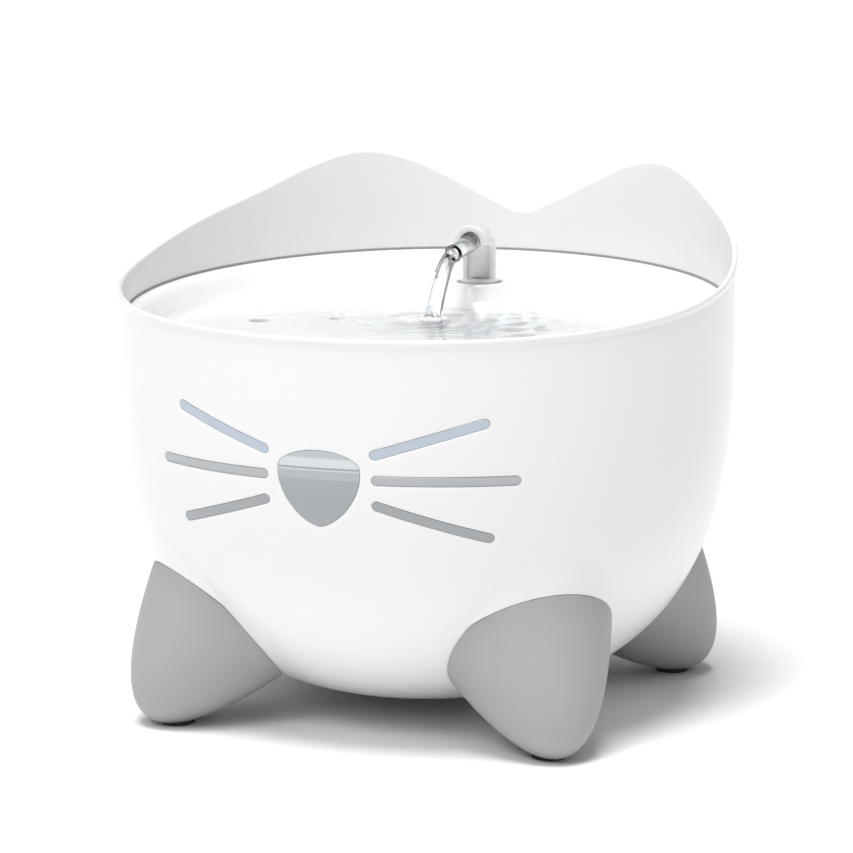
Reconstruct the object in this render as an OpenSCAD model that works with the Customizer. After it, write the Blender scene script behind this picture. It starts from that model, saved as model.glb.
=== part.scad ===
// Pet water fountain: a bowl with ears on four feet, a drinking dish inside its rim, a spout that
// swivels in the dish, and the pump and filter that stand on the bowl's floor and feed the spout.
// Millimetres. +Z is up, the face looks along -Y, and the origin is on the floor below the bowl.

/* [Bowl] */
// Outer radius of the wall below the rim
bowl_r = 107.5; // [102:0.5:114]
// Thickness of the moulded wall
wall = 2.2; // [1.8:0.1:2.8]
// Height of the underside above the floor
bowl_lift = 6.1; // [5:0.1:8]
// Height over which the wall curves in from upright to the underside
curve_h = 142.5; // [138:0.5:147]
// Radius of the flat middle of the underside
base_flat_r = 20; // [16:1:26]
// Height of the rim at the front
rim_front_z = 144.1; // [142:0.1:150]
// Rise of the ear peaks above the front rim
ear_rise = 38.1; // [25:0.1:45]
// How far the rim lip stands out from the wall
lip_out = 0.9; // [0.5:0.1:1.4]
// Height of the rim lip
lip_h = 1.9; // [1.4:0.1:2.6]

/* [Face window] */
// Half width of the nose
nose_half_w = 14.5; // [12:0.5:16]
// Height of the nose's centre above the floor
nose_z = 95.3; // [93:0.1:98]
// Width of a whisker
whisker_w = 3.5; // [3:0.1:4.2]
// Thickness of the clear panel behind the wall
panel_t = 1.6; // [1.2:0.1:2]
// Thickness of the gasket between the panel and the wall
gasket_t = 0.8; // [0.6:0.1:1.2]
// Width of the gasket's frame
gasket_w = 5; // [4:0.5:6]
// Gap between the raised windows and their openings
window_gap = 0.12; // [0.08:0.02:0.2]

/* [Feet] */
// Lean of the feet, outwards from straight down
foot_lean = 41.3; // [38:0.1:44]
// Radius of a foot at its top edge
foot_r = 30.4; // [28:0.1:32]
// Length of a foot from its top edge to its tip
foot_len = 44.2; // [42:0.1:47]
// How far the middle of a foot's top edge lies inside the bowl's surface
foot_inset = 8.6; // [7.6:0.1:10]
// Wall of a foot cover
foot_wall = 2.6; // [2.2:0.1:3]
// Angle of the front feet from straight ahead
front_foot_angle = 45; // [40:1:50]
// Angle of the rear feet from straight back
rear_foot_angle = 50; // [44:1:54]
// Length of the flared white shoulder above a foot
shoulder_len = 9.5; // [8:0.5:11]
// Radius of a non-slip pad
pad_r = 6; // [5:0.5:7]
// Distance that a pad stands out below its foot
pad_out = 0.3; // [0.2:0.1:0.6]
// Radius of a foot screw's shank
foot_screw_r = 1.5; // [1.3:0.1:1.8]

/* [Dish] */
// Slope of the dish, which falls towards the front
dish_tilt = 2.9; // [2:0.1:3.4]
// Depth of the dish's edge below the front rim, at the middle of the bowl
dish_below_rim = 4.4; // [3.6:0.1:5]
// Gap between the dish and the bowl's wall
dish_gap = 0.3; // [0.25:0.05:0.6]
// Depth of the dish's floor below its edge
dish_depth = 9.4; // [8:0.2:11]
// Width of the dish's sloping side
dish_side_w = 10; // [8:0.5:13]
// Width of the dish's flat edge
dish_edge_w = 3; // [2:0.5:4]
// Thickness of the dish
dish_t = 2.2; // [1.8:0.1:2.6]
// Height of the dish's skirt
skirt_h = 5; // [4:0.5:6]

/* [Spout] */
// Distance of the spout behind the middle of the bowl
spout_y = 56.8; // [52:0.1:60]
// Radius of the spout's column
spout_r = 6.3; // [5.8:0.1:6.4]
// Height of the spout's bend above its collar, to the bend's axis
spout_h = 14.3; // [12:0.1:18]
// Radius of the spout's bend, at its axis
bend_r = 6.6; // [6.5:0.1:7.4]
// Reach of the clear nozzle in front of the spout's column axis
nozzle_reach = 29.4; // [24:0.1:33]
// Outer radius of the clear nozzle tube
nozzle_r = 3; // [2.6:0.1:3.3]
// Wall of the clear nozzle tube
nozzle_wall = 0.7; // [0.5:0.1:1]
// Radius of the collar at the foot of the spout
collar_r = 6.9; // [6.7:0.1:7.5]
// Radius of the spout's stem
stem_r = 6; // [5.6:0.1:6.2]
// Running gap between the stem and its bore
stem_gap = 0.06; // [0.03:0.01:0.1]
// Radius of the socket in the pedestal
socket_r = 8.4; // [8:0.1:9]

/* [Filter] */
// Distance of the filter housing behind the middle of the bowl
filter_y = 12; // [9:0.5:13]
// Room between the pump and the wall of the filter housing
pump_room = 1.3; // [1:0.1:3]
// Wall of the filter housing
filter_wall = 2; // [1.6:0.1:2.4]
// Thickness of the granule pad
granule_t = 3; // [2:0.5:4]
// Thickness of the foam pad
foam_t = 3.4; // [2:0.2:4]

/* [Pump] */
// Width of the pump
pump_w = 36; // [35:0.5:40]
// Length of the pump's motor block
motor_len = 34; // [33:0.5:36]
// Length of the pump's wet chamber
chamber_len = 18; // [17:0.5:20]
// Radius of the wet chamber
chamber_r = 13; // [12.5:0.1:13.4]
// Radius of the impeller's blades
blade_r = 11.5; // [10:0.1:12]
// Number of impeller blades
blade_count = 6; // [4:1:8]
// Radius of the shaft
shaft_r = 1; // [0.8:0.05:1.2]
// Running gap between the shaft and the impeller
shaft_gap = 0.05; // [0.03:0.01:0.08]
// Radius of the rotor magnet
magnet_r = 7.6; // [7:0.1:7.8]
// Outer radius of the outlet tube and of the dish's nipple
nipple_r = 4.5; // [4.2:0.1:5]
// Bore radius of the water way
water_bore_r = 3; // [2.5:0.1:3.2]
// Wall of the soft hose
hose_wall = 1.5; // [1.2:0.1:1.8]
// Thickness that a cuff adds at each end of the hose
cuff_t = 0.6; // [0.4:0.1:1]

/* [Power inlet] */
// Height of the power inlet in the rear wall
inlet_z = 118; // [112:0.5:120]
// Radius of the inlet's body
inlet_r = 5.8; // [5.4:0.1:6.2]
// Radius of the inlet's flange
flange_r = 8; // [7.5:0.1:9]
// Radius of the lead inside the bowl
lead_r = 2; // [1.6:0.1:2.2]

/* [Hidden] */
$fn = 96;
eps = 0.01;
seat_gap = 0.3;      // between pieces of two bodies that rest on each other
fit_gap = 0.1;       // between pieces of one body
far = 400;

// ---- colours
white = [0.95, 0.95, 0.94];
grey = [0.62, 0.63, 0.64];
clear = [0.62, 0.70, 0.76, 0.5];
dark = [0.16, 0.17, 0.18];
seal_col = [0.30, 0.31, 0.32];

// ---- bowl surface: a superellipse from the upright wall to the flat underside
curve_n = 3.4;
curve_m = 2.09;
curve_steps = 24;
bowl_top = bowl_lift + curve_h;
function bowl_radius(z) = base_flat_r + (bowl_r - base_flat_r)
    * pow(1 - pow(min(1, max(0, (bowl_top - z) / curve_h)), curve_n), 1 / curve_m);
function curve_point(u) = [
    base_flat_r + (bowl_r - base_flat_r) * pow(cos(u), 2 / curve_m),
    bowl_top - curve_h * pow(sin(u), 2 / curve_n)];
function curve_slope(u) = [
    -(bowl_r - base_flat_r) * 2 / curve_m * pow(cos(u), 2 / curve_m - 1) * sin(u),
    -curve_h * 2 / curve_n * pow(sin(u), 2 / curve_n - 1) * cos(u)];
function inward(u) = u == 0 ? [-1, 0] : u == 90 ? [0, 1]
    : [curve_slope(u)[1], -curve_slope(u)[0]] / norm(curve_slope(u));
// Half section of the body that lies d inside the bowl's surface, up to a flat top
function skin(d, top) = concat(
    [[0, bowl_lift + d]],
    [for (i = [curve_steps:-1:1]) let (u = 90 * i / curve_steps, p = curve_point(u) + d * inward(u))
        if (p[1] < top - 2) p],
    [[bowl_r - d, top], [0, top]]);

// ---- rim: share of the ear's rise against the angle from straight back
rim_knots = [[0, 0.415], [8, 0.564], [16, 0.759], [24, 0.927], [33, 1], [42, 0.9], [55, 0.661],
    [70, 0.454], [90, 0.223], [110, 0.1], [135, 0.024], [180, 0]];
rim_steps = 120;
crown_z = rim_front_z - 4.1;     // the crown starts here on top of the turned wall
lip_round = 0.5;
function knot_slope(i) = i == 0 || i == len(rim_knots) - 1 ? 0
    : (rim_knots[i + 1][1] - rim_knots[i - 1][1]) / (rim_knots[i + 1][0] - rim_knots[i - 1][0]);
function knot_before(a) = max([for (i = [0:len(rim_knots) - 2]) if (rim_knots[i][0] <= a) i]);
function rim_share(a) = let (i = knot_before(a), w = rim_knots[i + 1][0] - rim_knots[i][0],
        t = (a - rim_knots[i][0]) / w)
    (2*t*t*t - 3*t*t + 1) * rim_knots[i][1] + (t*t*t - 2*t*t + t) * w * knot_slope(i)
    + (3*t*t - 2*t*t*t) * rim_knots[i + 1][1] + (t*t*t - t*t) * w * knot_slope(i + 1);
function rim_z(a) = rim_front_z + ear_rise * rim_share(a > 180 ? 360 - a : a);
crown_out = 0.08;    // its faces stand this far out from the turned wall's own faces
function crown_section(a) = let (zt = rim_z(a), ri = bowl_r - wall + crown_out,
    ro = bowl_r + crown_out) [
    [ri, crown_z], [ro, crown_z], [ro, zt - lip_h - lip_out], [ro + lip_out, zt - lip_h],
    [ro + lip_out, zt - lip_round], [ro + lip_out - lip_round, zt], [ri + lip_round, zt],
    [ri, zt - lip_round]];

// ---- feet: a paraboloid about an axis that leans outwards, standing on its pad
foot_steps = 14;
low_share = foot_r * tan(foot_lean) / (2 * foot_len);
foot_z = pad_out + foot_len * (1 - pow(low_share, 2)) * cos(foot_lean)
    + foot_r * low_share * sin(foot_lean);
foot_x = bowl_radius(foot_z) - foot_inset;
low_s = foot_len * (1 - pow(low_share, 2));
pad_x = foot_x + low_s * sin(foot_lean) - foot_r * low_share * cos(foot_lean) - pad_r / 3;
pad_h = 3.4;
foot_line = 0.25;    // shadow gap between the foot cover, the shoulder and the bowl
screw_x = foot_x - 5.5;
boss_r = 4.6;
boss_z = bowl_lift + 10.4;
screw_head_r = 3.1;
screw_head_h = 2.2;
cover_floor = 1.8;
screw_len = 6.4;
plug_h = 5;
plug_gap = 0.2;
// Radius of a foot cover's inside at a distance along its axis
function foot_inside(t) = (foot_r - foot_wall) * sqrt(1 - (t + 1) / (foot_len - foot_wall));
foot_angles = [-90 - front_foot_angle, -90 + front_foot_angle,
    90 + rear_foot_angle, 90 - rear_foot_angle];

// ---- dish: its own frame is tilted about X at the height of its edge
dish_z = rim_front_z - dish_below_rim;
dish_r = bowl_r - wall - dish_gap;
lug_w = 4;
lug_h = 7;
lug_turn = 45;
function lug_slope(a) = lug_w * cos(a) * tan(dish_tilt);
dish_steps = 10;
drain_holes = [[64, 2, 3.6], [38.5, 12.5, 3], [66, -21, 4.8], [49, -25, 2.6]];
function dish_side(i) = [dish_r - dish_edge_w - dish_side_w * i / dish_steps,
    -dish_depth * (1 - cos(180 * i / dish_steps)) / 2];

// ---- spout and its pedestal, with the water way below it
edge_z_at_spout = dish_z + spout_y * tan(dish_tilt);
pedestal_z = edge_z_at_spout - 2.5;
pedestal_top_r = socket_r + 1.8;
pedestal_foot_r = pedestal_top_r + 6;
socket_depth = 3;
socket_z = pedestal_z - socket_depth;
collar_h = 1.6;
collar_z = pedestal_z - 0.8;
neck_r = stem_r + 0.5;
stem_len = 16;
stem_z = socket_z - stem_len;
tube_wall = 2.2;
tube_r = stem_r + stem_gap + tube_wall;
tube_z = stem_z - 3;
nipple_len = 7;
bend_z = collar_z + collar_h + spout_h - bend_r;
recess_w = 2 * (spout_r - 2.3);
hood_mouth = spout_y - bend_r - 4.3;
oring_z = stem_z + 5;
nozzle_z = collar_z - 1.9;
recess_z = collar_z + collar_h + 0.4;
oring_r = 0.9;

// ---- filter housing on the bowl's floor
boss_top = bowl_lift + 7.9;
filter_boss_r = 5;
filter_boss_place = 26;
tub_floor = boss_top + filter_wall;

// ---- pump inside the housing; its axis runs along Y
cup_h = 3.5;
pump_z0 = tub_floor + cup_h;
pump_axis_z = pump_z0 + 18.5;
pump_top = pump_axis_z + chamber_r + 3;
pump_len = motor_len + chamber_len;
pump_y0 = filter_y - pump_len / 2 + 0.5;
bore_gap = 0.6;
rotor_bore_r = magnet_r + bore_gap;
rotor_wall = 1.5;
bush_r = 3.4;
bush_t = 3;
rotor_t0 = 10;       // the rotor's bore starts here, behind the front bush
cover_t = 3;
sleeve_r = 2.6;
end_play = 0.4;
outlet_t = motor_len + chamber_len / 2;
outlet_y = pump_y0 + outlet_t;
cup_places = [[-1, 5], [1, 5], [-1, pump_len - 5], [1, pump_len - 5]];
cup_x = pump_w / 2 - 5.5;
cavity_t0 = 12;
cavity_t1 = motor_len - 2;
cavity_wall = 2.8;
cavity_floor = 1.3;
core_gap = 1.2;
core_in = rotor_bore_r + rotor_wall + 0.3;
core_leg = pump_w / 2 - cavity_wall - core_gap - core_in;
core_t0 = cavity_t0 + 2;
core_t1 = cavity_t1 - 2;
yoke_h = 3.2;
winding = 1.4;
inlet_holes_at = 5;
inlet_hole_r = 2;
knob_t = 2;
pivot_r = 1.5;
cover_joint = 0.05;
knob_rim = 1.2;
knob_r = inlet_holes_at + bush_r + inlet_hole_r + knob_rim;
grip_w = 14;
grip_t = 2.4;
grip_sink = 0.5;     // the knob's grip goes this far into its disc
pump_end = pump_y0 + pump_len + cover_joint + cover_t + seat_gap + knob_t + grip_t - grip_sink;
tub_in_r = pump_room + max(norm([pump_w / 2, pump_y0 - filter_y]), norm([knob_r, pump_end - filter_y]));
filter_r = tub_in_r + filter_wall;

// ---- filter cartridge above the pump
cartridge_z = pump_top + 2;
frame_floor = 1.5;
pad_gap = 0.2;
granule_z = cartridge_z + frame_floor + pad_gap;
foam_z = granule_z + granule_t + pad_gap;
tub_top = foam_z + foam_t + 1.5;
lid_t = 2.2;
lid_top = tub_top + lid_t;
sleeve_in_r = nipple_r + hose_wall + 1.2;
sleeve_out_r = sleeve_in_r + 1.5;
frame_r = tub_in_r - fit_gap - 0.2;
outlet_top = lid_top + 7.8;

// ---- hose from the pump's outlet to the dish's nipple: two equal arcs between straight cuffs
hose_in_r = nipple_r + 0.05;
hose_out_r = hose_in_r + hose_wall;
hose_bore_r = water_bore_r + 0.05;
hose_z0 = lid_top + 0.8;
hose_seat0 = outlet_top + 0.5;
hose_z1 = tube_z - seat_gap;
hose_seat1 = tube_z - nipple_len - 0.5;
cuff_over = 2;       // the cuffs go on past the ends of the nipples
hose_sink = 1.6;     // the tube's ends lie in the cuffs
hose_rise0 = hose_seat0 + cuff_over;
hose_rise1 = hose_seat1 - cuff_over;
hose_shift = spout_y - outlet_y;
hose_rise = hose_rise1 - hose_rise0;
hose_turn = 2 * atan(hose_shift / hose_rise);
hose_bend_r = hose_rise / (2 * sin(hose_turn));
hose_sides = 24;
hose_steps = 10;
// Each row: place in (y, z), and the way that the hose runs there
hose_path = concat(
    [[[outlet_y, hose_rise0 - hose_sink], [0, 1]]],
    [for (i = [0:hose_steps]) let (a = hose_turn * i / hose_steps)
        [[outlet_y + hose_bend_r * (1 - cos(a)), hose_rise0 + hose_bend_r * sin(a)],
            [sin(a), cos(a)]]],
    [for (i = [hose_steps - 1:-1:0]) let (a = hose_turn * i / hose_steps)
        [[spout_y - hose_bend_r * (1 - cos(a)), hose_rise1 - hose_bend_r * sin(a)],
            [sin(a), cos(a)]]],
    [[[spout_y, hose_rise1 + hose_sink], [0, 1]]]);

// ---- power inlet and the lead inside the bowl
wall_r_at_inlet = bowl_radius(inlet_z + flange_r);    // where the flange's top edge meets it
flange_t = 0.9;
inlet_len = 12;
jack_r = 2.75;
inlet_inner = wall_r_at_inlet - inlet_len;
nut_t = 3;
seal_t = 0.4;
// The seal's outer face touches the wall's inside at its lowest and its widest points
seal_y = bowl_radius(inlet_z - flange_r) - wall - pow(flange_r, 2) / (2 * bowl_r) - 0.05;
lead_hole_y = 5;
lead_hole_rise = 6;      // above the pump axis
lead_points = [
    [pump_w / 2 + 0.2, 4, pump_axis_z + 4], [pump_w / 2 + 8, 4, pump_axis_z + 4.5],
    [filter_r + 1, lead_hole_y, pump_axis_z + lead_hole_rise],
    [46, 10, 48], [51, 24, 52], [50, 42, 58], [41, 60, 67], [28, 73, 78], [15, 81, 91],
    [6, 85, 104], [1, inlet_inner - 8, inlet_z - 3],
    [0, inlet_inner - 4, inlet_z - 0.3], [0, inlet_inner - 0.2, inlet_z]];
lead_hole_r = lead_r + 0.9;

// ---- small helpers
module ring(r_out, r_in, h) {
    difference() {
        cylinder(r = r_out, h = h);
        translate([0, 0, -1]) cylinder(r = r_in, h = h + 2);
    }
}

module bar(a, b, w) {        // flat bar with round ends, from tip to tip
    run = b - a;
    len = norm(run) - w;
    translate(a) rotate(atan2(run[1], run[0])) translate([w / 2, 0]) {
        circle(d = w);
        translate([0, -w / 2]) square([len, w]);
        translate([len, 0]) circle(d = w);
    }
}

module rounded_plate(x, z0, z1, r) {
    translate([-x, z0 + r]) square([2 * x, z1 - z0 - 2 * r]);
    translate([-x + r, z0]) square([2 * (x - r), z1 - z0]);
    for (sx = [-1, 1], z = [z0 + r, z1 - r]) translate([sx * (x - r), z]) circle(r = r);
}

// Turns a drawing in (x, z) into a solid that runs forwards from the middle plane
module forwards() {
    rotate([90, 0, 0]) linear_extrude(height = bowl_r + 10) children();
}

// Local z runs along the pump's axis from its front face, and local y points down
module at_pump() {
    translate([0, pump_y0, pump_axis_z]) rotate([-90, 0, 0]) children();
}

// Local z runs down a foot's axis from the middle of its top edge, and -x points up
module at_foot(angle) {
    rotate([0, 0, angle]) translate([foot_x, 0, foot_z]) rotate([0, 180 - foot_lean, 0]) children();
}

module at_dish() {
    translate([0, 0, dish_z]) rotate([dish_tilt, 0, 0]) children();
}

module at_spout(z) {
    translate([0, spout_y, z]) children();
}

// ---- bowl
module bowl_body(d, top) {
    rotate_extrude() polygon(skin(d, top));
}

module crown() {
    n = len(crown_section(0));
    points = [for (k = [0:rim_steps - 1], p = crown_section(360 * k / rim_steps))
        let (a = 90 + 360 * k / rim_steps) [p[0] * cos(a), p[0] * sin(a), p[1]]];
    faces = [for (k = [0:rim_steps - 1], j = [0:n - 1])
        let (k2 = (k + 1) % rim_steps, j2 = (j + 1) % n,
            a = k * n + j, b = k * n + j2, c = k2 * n + j2, d = k2 * n + j)
        each [[a, b, c], [a, c, d]]];
    polyhedron(points = points, faces = faces, convexity = 4);
}

// Curve whose distance from its centre, along each direction, is a + b cos 3v: a rounded triangle
module nose(grow) {
    a = nose_half_w + grow;
    b = nose_half_w * 0.1;
    squeeze = 0.9;
    translate([0, nose_z]) polygon([for (v = [0:6:354])
        let (h = a + b * cos(3 * (v - 270)), t = -3 * b * sin(3 * (v - 270)))
        [h * cos(v) - t * sin(v), squeeze * (h * sin(v) + t * cos(v))]]);
}

module whiskers(w) {
    top = [[17.6, 105.6], [54.7, 117.1]];
    middle = [[18.0, 97.6], [63.2, 97.2]];
    low = [[17.9, 89.5], [54.8, 77.4]];
    shift = nose_z - 95.3;
    for (side = [-1, 1], line = [top, middle, low])
        bar([side * line[0][0], line[0][1] + shift], [side * line[1][0], line[1][1] + shift], w);
}

module face_outline(grow) {
    nose(grow);
    whiskers(whisker_w + 2 * grow);
}

panel_x = 66;
panel_low = nose_z - 22;
panel_high = nose_z + 25.5;
panel_corner = 8;

// Flare above a foot, and the plug that centres the foot's cover
module shoulder() {
    translate([0, 0, -shoulder_len])
        cylinder(r1 = foot_r + shoulder_len, r2 = foot_r, h = shoulder_len);
    cylinder(r1 = foot_inside(0) - plug_gap, r2 = foot_inside(plug_h) - plug_gap, h = plug_h);
}

module screw_boss() {
    translate([screw_x, 0, boss_z]) cylinder(r = boss_r, h = 12);
}

module screw_bore() {
    translate([screw_x, 0, boss_z - 1]) cylinder(r = foot_screw_r, h = screw_len);
}

// Lugs on the wall that carry the dish's skirt
module dish_lugs() {
    reach = bowl_r - wall / 2 - dish_r + lug_w;
    for (a = [lug_turn / 2:lug_turn:360]) {
        top = dish_z + dish_r * sin(a) * tan(dish_tilt) - skirt_h / cos(dish_tilt) - seat_gap;
        rotate([0, 0, a]) translate([dish_r - lug_w, -lug_w, top - lug_h]) rotate([90, 0, 90])
            linear_extrude(height = reach) polygon([[0, lug_h - lug_slope(a)],
                [2 * lug_w, lug_h + lug_slope(a)], [2 * lug_w, 0], [0, 0]]);
    }
}

module bowl_shell() {
    color(white) {
        difference() {
            union() {
                bowl_body(0, crown_z);
                for (a = foot_angles) {
                    at_foot(a) shoulder();
                    rotate([0, 0, a]) screw_boss();
                }
            }
            bowl_body(wall, crown_z + 1);
            for (a = foot_angles) rotate([0, 0, a]) screw_bore();
            forwards() face_outline(0);
            translate([0, 0, inlet_z]) rotate([-90, 0, 0]) cylinder(r = inlet_r + fit_gap, h = far);
        }
        crown();
        dish_lugs();
        for (a = [45:90:315]) translate([filter_boss_place * cos(a),
                filter_y + filter_boss_place * sin(a), bowl_lift + wall / 2])
            cylinder(r = filter_boss_r, h = boss_top - bowl_lift - wall / 2);
    }
}

// Layer of the bowl's front that lies between two depths behind its surface
module front_layer(d0, d1) {
    difference() {
        bowl_body(d0, crown_z);
        bowl_body(d1, crown_z + 1);
    }
}

module window_gasket() {
    color(seal_col) intersection() {
        front_layer(wall + 0.02, wall + gasket_t);
        forwards() difference() {
            rounded_plate(panel_x, panel_low, panel_high, panel_corner);
            rounded_plate(panel_x - gasket_w / 2, panel_low + gasket_w / 2,
                panel_high - gasket_w / 2, panel_corner - gasket_w / 2);
        }
    }
}

module face_window() {
    color(clear) {
        intersection() {
            front_layer(wall + gasket_t + 0.02, wall + gasket_t + panel_t);
            forwards() rounded_plate(panel_x, panel_low, panel_high, panel_corner);
        }
        intersection() {
            front_layer(0.05, wall + gasket_t + panel_t / 2);
            forwards() face_outline(-window_gap);
        }
    }
}

// ---- feet
module foot_form(r, length, start) {
    rotate_extrude() polygon(concat([[0, start]],
        [for (i = [0:foot_steps]) let (k = cos(90 * i / foot_steps),
            k0 = sqrt(1 - start / length)) [r * k * k0, length - (length - start) * k * k]]));
}

module foot_cover(angle) {
    inner_r = foot_r - foot_wall;
    inner_len = foot_len - foot_wall;
    color(grey) difference() {
        union() {
            difference() {
                at_foot(angle) foot_form(foot_r, foot_len, foot_line);
                at_foot(angle) translate([0, 0, -1]) foot_form(inner_r, inner_len, 0);
            }
            intersection() {
                at_foot(angle) foot_form(foot_r - 1, foot_len - 1, foot_line);
                rotate([0, 0, angle]) union() {
                    translate([screw_x, 0, 0]) cylinder(r = boss_r + 2, h = boss_z - fit_gap);
                    translate([pad_x, 0, 0]) cylinder(r = pad_r + 2, h = pad_h + 2);
                }
            }
        }
        bowl_body(-foot_line, crown_z);
        rotate([0, 0, angle]) {
            translate([screw_x, 0, -1])
                cylinder(r = screw_head_r + 0.6, h = boss_z - fit_gap - cover_floor + 1);
            translate([screw_x, 0, -1]) cylinder(r = foot_screw_r + 0.2, h = boss_z + 2);
            translate([pad_x, 0, -1]) cylinder(r = pad_r + fit_gap, h = pad_h + 1);
        }
        at_foot(angle) for (y = [-8, 8]) translate([inner_r - 6, y - 2.5, 0]) cube([12, 5, 9]);
    }
}

module foot_front_left() { foot_cover(foot_angles[0]); }
module foot_front_right() { foot_cover(foot_angles[1]); }
module foot_rear_left() { foot_cover(foot_angles[2]); }
module foot_rear_right() { foot_cover(foot_angles[3]); }

module foot_pads() {
    color(dark) for (a = foot_angles) rotate([0, 0, a]) translate([pad_x, 0, 0]) {
        cylinder(r = pad_r - 0.4, h = 0.4);
        translate([0, 0, 0.4]) cylinder(r = pad_r, h = pad_h - 0.4);
    }
}

module foot_screws() {
    head_z = boss_z - fit_gap - cover_floor - screw_head_h;
    color("silver") for (a = foot_angles) rotate([0, 0, a]) translate([screw_x, 0, head_z]) {
        difference() {
            cylinder(r = screw_head_r, h = screw_head_h);
            for (turn = [0, 90]) rotate([0, 0, turn]) translate([-2, -0.4, -1]) cube([4, 0.8, 2.2]);
        }
        cylinder(r = foot_screw_r - 0.05, h = screw_head_h + cover_floor + screw_len - 1.4);
    }
}

// ---- dish
module dish_bowl() {
    side = [for (i = [0:dish_steps]) dish_side(i)];
    under = [for (i = [dish_steps:-1:0]) dish_side(i) - [dish_t * 0.6, dish_t * 1.1]];
    rim = [[dish_r - dish_t, -skirt_h], [dish_r, -skirt_h], [dish_r, -0.7], [dish_r - 0.7, 0]];
    at_dish() rotate_extrude() polygon(concat([[0, -dish_depth]],
        [for (i = [dish_steps:-1:0]) side[i]], [for (i = [3:-1:0]) rim[i]],
        [[dish_r - dish_t, -dish_t]], [for (i = [dish_steps:-1:0]) under[i]],
        [[0, -dish_depth - dish_t * 1.1]]));
}

module drinking_dish() {
    pedestal_h = dish_depth + 1;
    color(white) difference() {
        union() {
            dish_bowl();
            at_spout(pedestal_z - pedestal_h)
                cylinder(r1 = pedestal_foot_r, r2 = pedestal_top_r, h = pedestal_h);
            at_spout(tube_z) cylinder(r = tube_r, h = pedestal_z - tube_z - 1);
            at_spout(tube_z - nipple_len) cylinder(r = nipple_r, h = nipple_len + 1);
        }
        at_spout(socket_z) cylinder(r = socket_r, h = far);
        at_spout(stem_z - seat_gap) cylinder(r = stem_r + stem_gap, h = far);
        at_spout(tube_z - nipple_len - 1) cylinder(r = water_bore_r, h = far);
        for (side = [-1, 1], hole = drain_holes)
            translate([side * hole[0], hole[1], 0]) cylinder(r = hole[2], h = far);
    }
}

// ---- spout
// Quarter bend that starts upright over the spout's axis and ends pointing forwards
module quarter_bend(r) {
    translate([0, spout_y - bend_r, bend_z]) rotate([90, 0, 90])
        rotate_extrude(angle = 90) translate([bend_r, 0]) circle(r = r);
}

module spout_path(r, foot, reach) {
    at_spout(foot) cylinder(r = r, h = bend_z - foot);
    quarter_bend(r);
    translate([0, spout_y - bend_r + eps, bend_z + bend_r]) rotate([90, 0, 0])
        cylinder(r = r, h = reach);
}

module spout_hood() {
    color(white) difference() {
        union() {
            spout_path(spout_r, collar_z, spout_y - bend_r - hood_mouth);
            at_spout(collar_z) cylinder(r = collar_r, h = collar_h);
            at_spout(socket_z + seat_gap) cylinder(r = neck_r, h = collar_z - socket_z);
            at_spout(stem_z) cylinder(r = stem_r, h = socket_z - stem_z + 1);
        }
        // open front, which leaves a band all round it
        translate([0, spout_y - 0.8, 0]) rotate([90, 0, 0]) linear_extrude(height = 40) {
            translate([-recess_w / 2, recess_z]) square([recess_w, bend_z + bend_r - recess_z]);
            translate([0, bend_z + bend_r]) circle(r = recess_w / 2);
        }
        spout_path(nozzle_r + fit_gap, nozzle_z - fit_gap, 30);
        at_spout(stem_z - 1) cylinder(r = nozzle_r - nozzle_wall, h = nozzle_z - stem_z + 2);
        at_spout(oring_z - oring_r - 0.1) ring(stem_r + 2, stem_r - 2 * oring_r, 2 * oring_r + 0.2);
    }
}

module nozzle_tube() {
    reach = nozzle_reach - bend_r;
    mouth_y = spout_y - nozzle_reach;
    color(clear) difference() {
        union() {
            spout_path(nozzle_r, nozzle_z, reach);
            translate([0, mouth_y, bend_z + bend_r]) rotate([90, 0, 0])
                cylinder(r = nozzle_r + 0.25, h = 0.8, center = true);
        }
        spout_path(nozzle_r - nozzle_wall, nozzle_z - 1, reach + 2);
    }
}

module spout_oring() {
    color(dark) at_spout(oring_z) rotate_extrude()
        translate([stem_r + stem_gap - 0.03 - oring_r, 0]) circle(r = oring_r);
}

// ---- hose
module hose_tube() {
    m = hose_sides;
    n = len(hose_path);
    points = [for (row = hose_path, r = [hose_out_r, hose_bore_r + 0.2], k = [0:m - 1])
        let (a = 360 * k / m, p = row[0] + r * sin(a) * [-row[1][1], row[1][0]])
            [r * cos(a), p[0], p[1]]];
    sides = [for (i = [0:n - 2], k = [0:m - 1]) let (k2 = (k + 1) % m, a = 2 * m * i, b = a + 2 * m)
        each [[a + k, a + k2, b + k2], [a + k, b + k2, b + k],
            [a + m + k2, a + m + k, b + m + k2], [b + m + k2, a + m + k, b + m + k]]];
    last = 2 * m * (n - 1);
    ends = [for (k = [0:m - 1]) let (k2 = (k + 1) % m)
        each [[k2, k, m + k], [k2, m + k, m + k2],
            [last + k, last + k2, last + m + k2], [last + k, last + m + k2, last + m + k]]];
    polyhedron(points = points, faces = concat(sides, ends), convexity = 6);
}

module hose_cuff(y, z0, z1, seat0, seat1) {
    translate([0, y, 0]) difference() {
        translate([0, 0, z0]) cylinder(r = hose_out_r + cuff_t, h = z1 - z0);
        translate([0, 0, z0 - 1]) cylinder(r = hose_bore_r, h = z1 - z0 + 2);
        translate([0, 0, seat0]) cylinder(r = hose_in_r, h = seat1 - seat0);
    }
}

module outlet_hose() {
    color([0.85, 0.87, 0.88]) {
        hose_tube();
        hose_cuff(outlet_y, hose_z0, hose_rise0, hose_z0 - 1, hose_seat0);
        hose_cuff(spout_y, hose_rise1, hose_z1, hose_seat1, hose_z1 + 1);
    }
}

// ---- filter housing and cartridge
module at_filter(z) {
    translate([0, filter_y, z]) children();
}

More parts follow.
